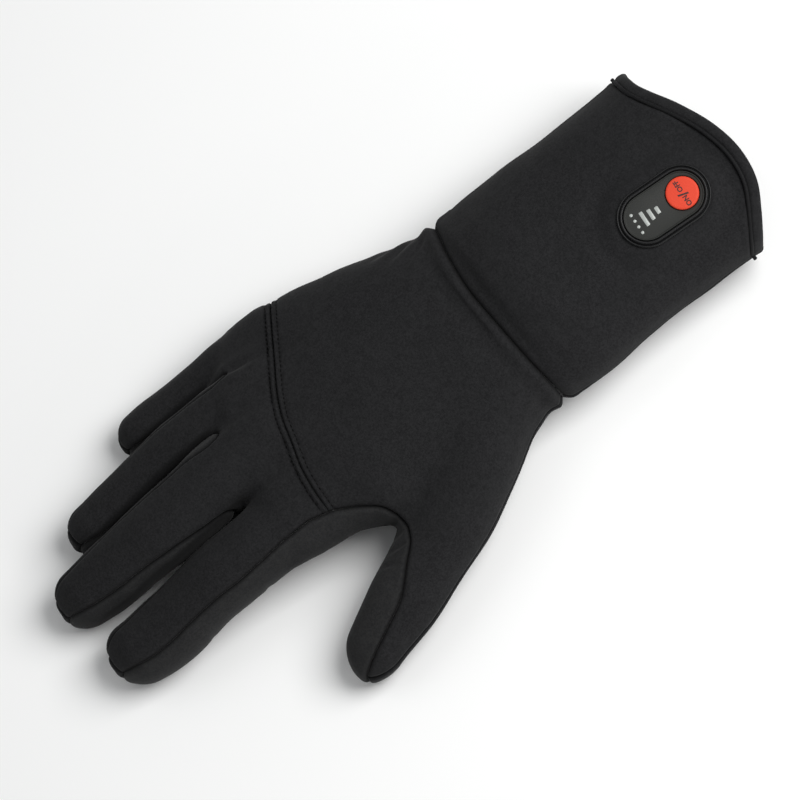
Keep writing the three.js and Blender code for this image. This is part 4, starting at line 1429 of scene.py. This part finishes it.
# The same cloth, knitted to stretch and pulled flat between the fingers: smoother and a little paler
SIDE_CLOTH = Softshell("softshell_side", dark="#1d1d1e", light="#292929", sheen=0.05)
# Polyester fleece, teased up by wire rollers and sheared: a deep uneven nap with a pale bloom at its edges
# on the glove its inner face carries a "seam" value of 1, so it shows almost only the painted shade colour,
# not these
FLEECE = Softshell("fleece_lining", dark="#1c1c1d", light="#2e2e2f", sheen=0.25, bump_mm=0.25, nap_mm=1.6)
# Woven polyester tape, drawn tight over a cord: no nap, so it is smoother and darker than the softshell
CORD_CLOTH = Softshell(
    "cord_cover", dark="#101011", light="#171718", sheen=0.0, roughness=0.75, bump_mm=0.02
)
# Polyester thread, spun and dyed black, then pulled into the cloth: the darkest thing on the hand
THREAD = Moulded("polyester_thread", "#020202", "#060606", 0.75, gloss=0.12)
# Silicone rubber moulded in a polished tool: black, with a satin light along its ridges
BEZEL_RUBBER = Moulded("bezel_silicone", "#080809", "#0e0e0f", 0.5, gloss=0.3)
# ABS moulded in an etched tool: a fine even grain that leaves the dark grey matt
PANEL_PLASTIC = Moulded("panel_abs", "#262725", "#2b2c2a", 0.6, gloss=0.2)
# Silicone rubber coloured in the mass and moulded in a blasted tool: an even, soft red-orange
BUTTON_SILICONE = Moulded("button_rubber", "#cd3f2a", "#d6472f", 0.6, gloss=0.2)
# Ink put on by a soft pad: a thin, very dark red-brown film with sharp edges
LETTER_INK = Moulded("letter_ink", "#2c0a08", "#340d0a", 0.6)
# Acrylic moulded clear and frosted to spread a lamp's light: pale grey while the lamp is off
LIGHT_WINDOW = Moulded("window_acrylic", "#a4a8a4", "#aeb2ae", 0.4)


def dress(piece: bpy.types.Object, finish: Softshell | Moulded) -> None:
    """Gives a piece its finish, made once and shared."""
    material = bpy.data.materials.get(finish.name) or finish.build()
    piece.data.materials.append(material)


def point_outwards(piece: bpy.types.Object) -> None:
    """Merges a closed piece's double points and turns its faces outwards.

    Args:
        piece: the piece, changed in place.
    """
    work = bmesh.new()
    work.from_mesh(piece.data)
    bmesh.ops.remove_doubles(work, verts=work.verts, dist=0.001 * MM)
    bmesh.ops.recalc_face_normals(work, faces=work.faces)
    work.to_mesh(piece.data)
    work.free()


def sharpen(piece: bpy.types.Object, degrees: float) -> None:
    """Keeps edges that turn by more than an angle crisp under smooth shading."""
    piece.data.set_sharp_from_angle(angle=math.radians(degrees))


def surface_curve(name: str, points: list[Vector]) -> bpy.types.Object:
    """A curve for a node tree to follow.

    Args:
        name: its name.
        points: what it runs through.

    Returns:
        The curve, in the scene.
    """
    line = bpy.data.curves.new(name, "CURVE")
    line.dimensions = "3D"
    spline = line.splines.new("POLY")
    spline.points.add(len(points) - 1)
    for target, point in zip(spline.points, points):
        target.co = (*point, 1)
    return put(name, line)


def through_nodes(
    source: bpy.types.Object, tree: bpy.types.NodeTree, name: str, values: dict
) -> bpy.types.Object:
    """Runs a curve through a node tree and keeps the plain mesh.

    Args:
        source: the curve, which is removed afterwards.
        tree: the geometry node tree.
        name: the new piece's name.
        values: the tree's inputs by name.

    Returns:
        The new mesh piece.
    """
    holder = put(name + "_work", bpy.data.meshes.new(name + "_work"))
    modifier = holder.modifiers.new("shape", "NODES")
    modifier.node_group = tree
    sockets = {s.name: s.identifier for s in tree.interface.items_tree if s.in_out == "INPUT"}
    for key, value in {**values, "Path": source}.items():
        modifier[sockets[key]] = value
    bpy.context.view_layer.update()
    graph = bpy.context.evaluated_depsgraph_get()
    mesh = bpy.data.meshes.new_from_object(holder.evaluated_get(graph))
    mesh.name = name
    mesh.materials.clear()
    mesh.materials.append(values["Material"])
    for old in (holder, source):
        bpy.data.objects.remove(old)
    return put(name, mesh)


def new_tree(name: str, sizes: dict) -> tuple[bpy.types.NodeTree, bpy.types.Node]:
    """A geometry node tree that follows a path and gives one material.

    Args:
        name: the tree's name.
        sizes: for each further input its socket type.

    Returns:
        The tree and its input node.
    """
    tree = bpy.data.node_groups.new(name, "GeometryNodeTree")
    tree.interface.new_socket("Geometry", in_out="OUTPUT", socket_type="NodeSocketGeometry")
    for key, kind in {"Path": "NodeSocketObject", **sizes, "Material": "NodeSocketMaterial"}.items():
        tree.interface.new_socket(key, in_out="INPUT", socket_type=kind)
    tree.nodes.new("NodeGroupOutput")
    return tree, tree.nodes.new("NodeGroupInput")


def finish_tree(tree: bpy.types.NodeTree, shape: bpy.types.NodeSocket, given: bpy.types.Node) -> None:
    """Ends a tree with its instances made real and its material set.

    Args:
        tree: the tree.
        shape: what it has made.
        given: its input node.
    """
    real = node(tree, "GeometryNodeRealizeInstances", {"Geometry": shape})
    inputs = {"Geometry": real.outputs["Geometry"], "Material": given.outputs["Material"]}
    done = node(tree, "GeometryNodeSetMaterial", inputs)
    tree.links.new(done.outputs["Geometry"], tree.nodes["Group Output"].inputs["Geometry"])


def stitch_tree() -> bpy.types.NodeTree:
    """Stitches along a path: short lengths of thread at a steady pitch, each a rounded grain.

    Returns:
        The tree, with inputs for the path, the pitch, a stitch's length and thickness, and the material.
    """
    sizes = dict.fromkeys(("Pitch", "Length", "Thickness"), "NodeSocketFloat")
    tree, given = new_tree("stitches", sizes)
    path = node(tree, "GeometryNodeObjectInfo", {"Object": given.outputs["Path"]})
    inputs = {"Curve": path.outputs["Geometry"], "Length": given.outputs["Pitch"]}
    points = node(tree, "GeometryNodeCurveToPoints", inputs, mode="LENGTH")
    grain = node(tree, "GeometryNodeMeshUVSphere", {"Segments": 10, "Rings": 8, "Radius": 0.5})
    soft = node(tree, "GeometryNodeSetShadeSmooth", {"Geometry": grain.outputs["Mesh"]})
    turn = node(tree, "FunctionNodeAlignRotationToVector", {"Vector": points.outputs["Tangent"]}, axis="X")
    thick = given.outputs["Thickness"]
    size = node(tree, "ShaderNodeCombineXYZ", {"X": given.outputs["Length"], "Y": thick, "Z": thick})
    placed = node(tree, "GeometryNodeInstanceOnPoints", {
        "Points": points.outputs["Points"],
        "Instance": soft.outputs["Geometry"],
        "Rotation": turn.outputs["Rotation"],
        "Scale": size.outputs["Vector"],
    })
    finish_tree(tree, placed.outputs["Instances"], given)
    return tree


def cord_tree() -> bpy.types.NodeTree:
    """A round cord along a path, with closed ends.

    Returns:
        The tree, with inputs for the path, the cord's radius, its step along the path, and the material.
    """
    tree, given = new_tree("cord", dict.fromkeys(("Radius", "Step"), "NodeSocketFloat"))
    path = node(tree, "GeometryNodeObjectInfo", {"Object": given.outputs["Path"]})
    inputs = {"Curve": path.outputs["Geometry"], "Length": given.outputs["Step"]}
    even = node(tree, "GeometryNodeResampleCurve", inputs, mode="LENGTH")
    inputs = {"Resolution": 16, "Radius": given.outputs["Radius"]}
    ring = node(tree, "GeometryNodeCurvePrimitiveCircle", inputs, mode="RADIUS")
    tube = node(tree, "GeometryNodeCurveToMesh", {
        "Curve": even.outputs["Curve"],
        "Profile Curve": ring.outputs["Curve"],
        "Fill Caps": True,
    })
    soft = node(tree, "GeometryNodeSetShadeSmooth", {"Geometry": tube.outputs["Mesh"]})
    finish_tree(tree, soft.outputs["Geometry"], given)
    return tree


@dataclass
class Cloth:
    """The glove's cloth: the hand's panels, the side strips, the cuff, the band, the stitches and the
    piping."""

    place: ModulePlace
    form: Form = field(default_factory=Form)
    pattern: Pattern = field(default_factory=Pattern)
    stitch_pitch: float = 1.9 * MM
    stitch_length: float = 1.35 * MM
    stitch_width: float = 0.5 * MM
    stitch_rows: tuple = (-2.2 * MM, 0.0, 2.2 * MM)
    stitch_far: float = -0.36 * PALM_WIDTH  # the rows run from here, across
    stitch_high: float = 0.85 * PALM_LENGTH  # and no further than this, along
    piping_sink: float = 0.3 * MM
    piping_step: float = 0.8 * MM
    panels: dict = field(default_factory=dict)

    def cut_panels(self) -> dict[str, Sheet]:
        """Cuts the outer face along the seams.

        Returns:
            Each piece by the name of the solid that it stands for.
        """
        whole = self.form.surface()
        log.info("outer form: %d triangles", len(whole.faces))
        pattern, gap = self.pattern, self.pattern.gap
        across = seen_across(whole.points)
        wrist = pattern.wrist.signed(across, whole.points[:, 1])
        hand, cuff = whole.cut(wrist - gap, Seam.WRIST), whole.cut(-wrist - gap, Seam.WRIST)
        sheets: dict[str, Sheet] = {}
        for name, line in pattern.strips().items():
            inside = line.signed(hand.points[:, 0], hand.points[:, 1])
            sheets[name] = hand.cut(inside - gap, Seam.STRIP)
            hand = hand.cut(-inside - gap, Seam.STRIP)
        height = pattern.side_height(hand.points)
        back, sheets["palm_panel"] = hand.cut(height - gap, Seam.SIDE), hand.cut(-height - gap, Seam.SIDE)
        knuckle = pattern.knuckle.signed(seen_across(back.points), back.points[:, 1])
        sheets["back_finger_panel"] = back.cut(knuckle - gap, Seam.KNUCKLE)
        sheets["back_hand_panel"] = back.cut(-knuckle - gap, Seam.KNUCKLE)
        height = pattern.cuff_height(cuff.points)
        upper, lower = cuff.cut(height - gap, Seam.SIDE), cuff.cut(-height - gap, Seam.SIDE)
        sheets["cuff_palm"] = lower.cut(lower.points[:, 1] + CUFF_LENGTH, Seam.EDGE)
        hem = pattern.hem_distance(upper.points)
        sheets["cuff_back"] = upper.cut(hem - gap, Seam.HEM)
        band = upper.cut(-hem - gap, Seam.HEM)
        sheets["cuff_hem_band"] = band.cut(pattern.hem_distance(band.points) + HEM_BAND, Seam.EDGE)
        return sheets

    def build(self) -> list[bpy.types.Object]:
        """Makes every cloth piece, riding on the glove and standing for its solid.

        Returns:
            The pieces.
        """
        sheets = self.cut_panels()
        tailor = Tailor(self.place, self.form)
        shift = np.array(self.place.shift())
        for name, sheet in sheets.items():
            piece = tailor.panel(name + "_cloth", sheet, shift)
            side = name.startswith("fourchette")
            dress(piece, SIDE_CLOTH if side else BLACK_CLOTH)
            dress(piece, FLEECE)
            inner = np.zeros(len(piece.data.polygons), np.int32)
            inner[len(sheet.faces) :] = 1
            piece.data.polygons.foreach_set("material_index", inner)
            self.panels[name] = settle_piece(piece, "glove", name)
        return [*self.panels.values(), self.stitches(), self.piping()]

    def on_back(self, across: float, along: float, names: tuple) -> Vector | None:
        """The point of some panels that is seen at a place square to the back.

        Args:
            across: the place across.
            along: the place along.
            names: the panels to look at.

        Returns:
            The outermost point there, or None.
        """
        out = Vector(BACK_OUT)
        start = back_point(across, along) + out * (FAR / 4) + self.place.shift()
        best = None
        for name in names:
            hit, point, normal, _ = self.panels[name].ray_cast(start, -out)
            if hit and normal.z > 0.05 and (best is None or (point - start).length < (best - start).length):
                best = point
        return best

    def stitches(self) -> bpy.types.Object:
        """The rows of topstitching along the knuckle seam.

        Returns:
            One piece.
        """
        rows = []
        material = THREAD.build()
        tree = stitch_tree()
        line = self.pattern.knuckle.points
        keep = line[(line[:, 0] > self.stitch_far) & (line[:, 1] < self.stitch_high)]
        for offset in self.stitch_rows:
            way = np.gradient(keep, axis=0)
            way /= np.linalg.norm(way, axis=1, keepdims=True)
            path = keep + np.stack([-way[:, 1], way[:, 0]], axis=1) * offset
            found = [self.on_back(*place, ("back_hand_panel", "back_finger_panel")) for place in path]
            points = [point for point in found if point is not None]
            rows.append(through_nodes(surface_curve("row", points), tree, "row", {
                "Pitch": self.stitch_pitch,
                "Length": self.stitch_length,
                "Thickness": self.stitch_width,
                "Material": material,
            }))
        return settle_piece(join("knuckle_stitches", rows), "glove")

    def piping(self) -> bpy.types.Object:
        """The cord in the seam between the cuff's back and its band, with its ends turned out.

        Returns:
            The cord.
        """
        middle, half = hem_frame()
        keys, reaches = np.array(HEM_CURVE).T
        shift = self.place.shift()
        points, outs = [], []
        for around in -np.cos(np.linspace(0, math.pi, 90)) * 0.995:
            y = -HEM_START - float(curve(keys, reaches, np.array([around]))[0]) * HEM_REACH
            centre_x, wide, tall = (float(v[0]) for v in cuff_section(np.array([y])))
            turns = np.linspace(-0.35, math.pi + 0.35, 900)
            power = 2 / TUBE_FULLNESS
            c, s = np.cos(turns), np.sin(turns)
            x = centre_x + wide * np.sign(c) * np.abs(c) ** power
            z = tall - CUFF_PRESS + tall * np.sign(s) * np.abs(s) ** power
            seen = x * BACK_ACROSS[0] + (z - BACK_MIDDLE) * BACK_ACROSS[2]
            last, first = int(seen.argmax()), int(seen.argmin())
            order = slice(last, first + 1)
            at = np.interp(-(middle + around * half), -seen[order], np.arange(last, first + 1))
            px, pz = (float(np.interp(at, np.arange(len(turns)), v)) for v in (x, z))
            out = Vector(((px - centre_x) / wide**2, 0, (pz - tall + CUFF_PRESS) / tall**2)).normalized()
            points.append(Vector((px, y, pz)) + out * (PIPING_BEAD / 2 - self.piping_sink) + shift)
            outs.append(out)
        drop = Vector((0, 0, -PIPING_END))
        path = [points[0] + outs[0] * PIPING_END + drop, *points, points[-1] + outs[-1] * PIPING_END + drop]
        material = bpy.data.materials.get(CORD_CLOTH.name) or CORD_CLOTH.build()
        piece = through_nodes(surface_curve("piping", path), cord_tree(), "cuff_piping_cord", {
            "Radius": PIPING_BEAD / 2,
            "Step": self.piping_step,
            "Material": material,
        })
        return settle_piece(piece, "glove", "cuff_piping")


def join(name: str, pieces: list[bpy.types.Object]) -> bpy.types.Object:
    """Joins mesh pieces at the origin into one.

    Args:
        name: the new piece's name.
        pieces: what is joined; they are removed.

    Returns:
        The joined piece.
    """
    work = bmesh.new()
    for piece in pieces:
        work.from_mesh(piece.data)
    mesh = bpy.data.meshes.new(name)
    work.to_mesh(mesh)
    work.free()
    mesh.shade_smooth()
    for material in pieces[0].data.materials:
        mesh.materials.append(material)
    for piece in pieces:
        bpy.data.objects.remove(piece)
    return put(name, mesh)


# The control's sections, in millimetres: distance out from the line that its rounded ends turn about,
# then height
BEZEL_SECTION = (
    (11.3, 0.9), (11.3, 2.2), (11.22, 2.48), (11.02, 2.66), (10.78, 2.66), (10.6, 2.5), (10.48, 2.28),
    (10.32, 2.2), (10.18, 2.28), (10.1, 2.6), (10.02, 3.08), (9.84, 3.32), (9.58, 3.4), (9.3, 3.36),
    (9.1, 3.2), (9.0, 2.9), (9.0, 0.9),
)
PANEL_RIM_SECTION = (
    (7.6, 2.8), (8.05, 2.8), (8.16, 2.84), (8.22, 2.98), (8.3, 3.14), (8.42, 3.2), (8.56, 3.17), (8.66, 3.06),
    (8.7, 2.9), (8.7, 1.3),
)
BUTTON_WELL = ((6.5, 1.3), (6.5, 2.62), (6.54, 2.74), (6.66, 2.8))
BUTTON_SECTION = ((6.2, 2.1), (6.2, 3.3), (6.14, 3.5), (5.98, 3.66), (5.7, 3.76), (5.2, 3.8))


@dataclass
class Control:
    """The battery control on the cuff: a rubber bezel, a plastic panel with its lights, and the button."""

    place: ModulePlace
    turns: int = 288
    button_y: float = -8.2
    bars: tuple = ((8.65, 5.95), (5.75, 4.4), (2.85, 2.9))
    bar_width: float = 1.5
    bar_corner: float = 0.3
    dots: tuple = (-3.825, -1.275, 1.275, 3.825)
    dots_y: float = 12.0
    dot_radius: float = 0.6
    light_low: float = 1.9
    light_top: float = 2.92
    light_round: float = 0.12
    light_turns: int = 48
    words: tuple = (("ON", -3.5, 2.0), ("/", -0.7, 4.0), ("OFF", 2.8, 2.0))  # text, middle and height
    word_depth: float = 0.05

    def to_frame(self, points: np.ndarray) -> np.ndarray:
        """Points of the control's frame in millimetres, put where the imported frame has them."""
        matrix = np.array(Matrix.Translation(self.place.shift()) @ self.place.matrix())
        return points * MM @ matrix[:3, :3].T + matrix[:3, 3]

    def pill(self, radius: float, height: float, centre_y: float = 0.0) -> np.ndarray:
        """A ring round the control, its points spread evenly about a centre.

        Args:
            radius: its distance from the line that the ends turn about.
            height: its height.
            centre_y: the centre that the points are spread about.

        Returns:
            The ring's points.
        """
        straight = (self.place.length - self.place.width) / 2 / MM
        angle = np.arange(self.turns) / self.turns * 2 * math.pi
        way = np.stack([np.cos(angle), np.sin(angle)], axis=1)
        low, high = np.zeros(self.turns), np.full(self.turns, self.place.length / MM)
        for _ in range(40):
            middle = (low + high) / 2
            place = way * middle[:, None] + (0, centre_y)
            out = np.hypot(place[:, 0], np.maximum(np.abs(place[:, 1]) - straight, 0)) > radius
            low, high = np.where(out, low, middle), np.where(out, middle, high)
        place = way * low[:, None] + (0, centre_y)
        return np.column_stack([place, np.full(self.turns, height)])

    def circle(self, radius: float, height: float, centre: tuple) -> np.ndarray:
        """A ring of points about a centre.

        Args:
            radius: its radius.
            height: its height.
            centre: its centre, across and along the control.

        Returns:
            The ring's points.
        """
        angle = np.arange(self.turns) / self.turns * 2 * math.pi
        ring = np.stack([np.cos(angle), np.sin(angle)], axis=1) * radius + centre
        return np.column_stack([ring, np.full(self.turns, height)])

    def loop(self, name: str, rings: list[np.ndarray], closed: bool) -> bpy.types.Object:
        """A piece skinned over rings.

        Args:
            name: the piece's name.
            rings: the rings in order.
            closed: whether the last ring joins the first, or both are filled.

        Returns:
            The piece, with its faces outwards.
        """
        n, count = len(rings[0]), len(rings)
        faces = []
        for k in range(count if closed else count - 1):
            a, b = k * n, (k + 1) % count * n
            faces += [(a + i, a + (i + 1) % n, b + (i + 1) % n, b + i) for i in range(n)]
        if not closed:
            faces += [tuple(range(n)), tuple(range((count - 1) * n, count * n))]
        piece = mesh_piece(name, self.to_frame(np.concatenate(rings)), faces)
        point_outwards(piece)
        sharpen(piece, 50)
        return piece

    def bezel(self) -> bpy.types.Object:
        """The rubber bezel, a thin ridge and a wall with a groove between them.

        Returns:
            The bezel.
        """
        piece = self.loop("control_bezel", [self.pill(r, z) for r, z in BEZEL_SECTION], True)
        dress(piece, BEZEL_RUBBER)
        return settle_piece(piece, "glove", "controller_bezel")

    def panel(self) -> bpy.types.Object:
        """The panel, with a raised rim and a well for the button.

        Returns:
            The panel.
        """
        rings = [self.circle(r, z, (0, self.button_y)) for r, z in BUTTON_WELL]
        rings += [self.pill(r, z, self.button_y) for r, z in PANEL_RIM_SECTION]
        piece = self.loop("control_panel", rings, True)
        dress(piece, PANEL_PLASTIC)
        return settle_piece(piece, "glove", "controller_panel")

    def button(self) -> list[bpy.types.Object]:
        """The button, and the words printed on it.

        Returns:
            Both pieces.
        """
        rings = [self.circle(r, z, (0, self.button_y)) for r, z in BUTTON_SECTION]
        key = self.loop("control_button", rings, False)
        dress(key, BUTTON_SILICONE)
        settle_piece(key, "button", "power_button")
        parts = [self.lettering(*row, BUTTON_SECTION[-1][1]) for row in self.words]
        words = join("button_lettering", parts)
        words.data.shade_flat()
        dress(words, LETTER_INK)
        return [key, settle_piece(words, "button")]

    def lettering(self, body: str, across: float, tall: float, height: float) -> bpy.types.Object:
        """Printed letters, as a very thin mesh on the button's face.

        Args:
            body: the letters.
            across: their middle, across the control.
            tall: their height on the face.
            height: the face's height in the control's frame.

        Returns:
            The letters.
        """
        text = bpy.data.curves.new("word", "FONT")
        text.body = body
        text.align_x = "CENTER"
        text.align_y = "CENTER"
        text.extrude = 0.5
        text.offset = 0.03
        text.resolution_u = 4
        holder = put("word_work", text)
        bpy.context.view_layer.update()
        graph = bpy.context.evaluated_depsgraph_get()
        mesh = bpy.data.meshes.new_from_object(holder.evaluated_get(graph))
        bpy.data.objects.remove(holder)
        points = np.array([v.co for v in mesh.vertices])
        low, high = points.min(axis=0), points.max(axis=0)
        points = (points - (low + high) / 2) * (tall / (high[1] - low[1]))
        points[:, 2] = height + np.where(points[:, 2] > 0, self.word_depth, -self.word_depth)
        points[:, :2] += (across, self.button_y)
        for vertex, point in zip(mesh.vertices, self.to_frame(points)):
            vertex.co = point
        mesh.materials.clear()
        piece = put("letters", mesh)
        point_outwards(piece)
        return piece

    def light(
        self, name: str, half_x: float, half_y: float, corner: float, centre: tuple
    ) -> bpy.types.Object:
        """One pale window.

        Args:
            name: the piece's name.
            half_x: half its length across the control.
            half_y: half its length along the control.
            corner: the radius of its corners.
            centre: its middle.

        Returns:
            The window.
        """
        angle = np.arange(self.light_turns) / self.light_turns * 2 * math.pi + 0.01  # no point on an axis
        way = np.stack([np.cos(angle), np.sin(angle)], axis=1)
        rest = np.array([half_x - corner, half_y - corner])
        edge, top = self.light_round, self.light_top
        rings = []
        for inset, z in ((0, self.light_low), (0, top - edge), (0.3 * edge, top - 0.7 * edge), (edge, top)):
            ring = np.sign(way) * rest + way * (corner - inset) + centre
            rings.append(np.column_stack([ring, np.full(len(ring), z)]))
        piece = self.loop(name, rings, False)
        dress(piece, LIGHT_WINDOW)
        return piece

    def lights(self) -> list[bpy.types.Object]:
        """The three level bars and the row of four dots.

        Returns:
            The seven windows.
        """
        made = []
        for i, (y, length) in enumerate(self.bars, 1):
            size = (length / 2, self.bar_width / 2, self.bar_corner)
            bar = self.light(f"level_window_{i}", *size, (0, y))
            made.append(settle_piece(bar, "glove", f"level_bar_{i}"))
        for i, x in enumerate(self.dots, 1):
            dot = self.light(f"dot_window_{i}", *(self.dot_radius,) * 3, (x, self.dots_y))
            made.append(settle_piece(dot, "glove", f"led_dot_{i}"))
        return made

    def build(self) -> list[bpy.types.Object]:
        """Makes every piece of the control."""
        return [self.bezel(), self.panel(), *self.button(), *self.lights()]


def settle_piece(piece: bpy.types.Object, body: str, node_name: str = "") -> bpy.types.Object:
    """Rides a piece on a body, and has it stand for a CAD node where one is named.

    Args:
        piece: the piece.
        body: the body that it rides on.
        node_name: the node that it stands for, if any.

    Returns:
        The same piece.
    """
    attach(piece, body)
    if node_name:
        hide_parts(node_name)
    return piece


@dataclass
class Studio:
    """The camera, the pale floor and the soft lights of the product photograph."""

    shift: Vector
    frame_width: float = 0.296
    distance: float = 4.0
    sensor: float = 36.0
    aim_across: float = -3.0 * MM
    aim_along: float = 49.4 * MM
    roll: tuple = (0.618, 0.786)  # how the picture's right lies along the back's own two directions
    floor_colour: str = "#fbfbfa"
    floor_half: float = 4.0
    sky: tuple = ("#f2f4f6", 0.3)  # the surround's colour and strength
    # each light's name, its place to the picture's right, up and towards the camera, its side and its watts
    lights: tuple = (
        ("key", 0.5, 0.46, 0.95, 0.75, 13.6),
        ("fill", 0.75, -0.8, 0.7, 0.8, 3.4),
        ("edge", -0.9, 0.4, 0.7, 0.8, 1.6),
    )

    def axes(self) -> tuple[Vector, Vector, Vector]:
        """The picture's axes.

        Returns:
            Its right, its up and the way back to the camera.
        """
        across, along = Vector(BACK_ACROSS), Vector((0, 1, 0))
        right = -(across * self.roll[0] + along * self.roll[1])
        up = across * self.roll[1] - along * self.roll[0]
        return right.normalized(), up.normalized(), Vector(BACK_OUT)

    def aim(self) -> Vector:
        """The point at the picture's middle."""
        return back_point(self.aim_across, self.aim_along) + self.shift

    def camera(self) -> None:
        """The camera, at the photograph's angle."""
        right, up, back = self.axes()
        data = bpy.data.cameras.new("camera")
        data.sensor_width = self.sensor
        data.lens = self.sensor * self.distance / self.frame_width
        piece = put("camera", data)
        place = self.aim() + back * self.distance
        piece.matrix_world = Matrix.Translation(place) @ Matrix((right, up, back)).transposed().to_4x4()
        bpy.context.scene.camera = piece

    def floor(self) -> None:
        """A wide pale floor of matt paper."""
        half = self.floor_half
        corners = [(-half, -half, 0), (half, -half, 0), (half, half, 0), (-half, half, 0)]
        piece = mesh_piece("floor", np.array(corners, float), [(0, 1, 2, 3)], False)
        # Uncoated white paper rolled out flat: no gloss, so that it gives only the soft shadow
        material, _, shader = new_material("paper", 0.95, 0.1)
        shader.inputs["Base Color"].default_value = linear(self.floor_colour)
        piece.data.materials.append(material)

    def light(self, name: str, across: float, upwards: float, out: float, size: float, power: float) -> None:
        """A square softbox that faces the glove.

        Args:
            name: the light's name.
            across: its place along the picture's right.
            upwards: its place along the picture's up.
            out: its place towards the camera.
            size: its side.
            power: its power in watts.
        """
        right, up, back = self.axes()
        data = bpy.data.lights.new(name, "AREA")
        data.size = size
        data.energy = power
        way = right * across + up * upwards + back * out
        turn = way.to_track_quat("Z", "Y").to_matrix().to_4x4()
        put(name, data).matrix_world = Matrix.Translation(self.aim() + way) @ turn

    def world(self) -> None:
        """An even pale surround."""
        world = bpy.data.worlds.new("studio")
        world.use_nodes = True
        background = world.node_tree.nodes["Background"]
        background.inputs["Color"].default_value = linear(self.sky[0])
        background.inputs["Strength"].default_value = self.sky[1]
        bpy.context.scene.world = world

    def build(self) -> None:
        """Sets the whole stage."""
        self.camera()
        self.floor()
        self.world()
        for row in self.lights:
            self.light(*row)
        bpy.context.scene.view_settings.view_transform = "Standard"


def main() -> None:
    """Builds the cloth, the control and the studio."""
    logging.basicConfig(level=logging.INFO, format="%(message)s")
    place = ModulePlace()
    log.info("shift %s", tuple(round(v / MM, 4) for v in place.shift()))
    pieces = Cloth(place).build() + Control(place).build()
    Studio(place.shift()).build()
    for piece in pieces:
        log.info("%s: %d faces", piece.name, len(piece.data.polygons))
    log.info("%d pieces", len(pieces))


if __name__ == "__main__":
    main()
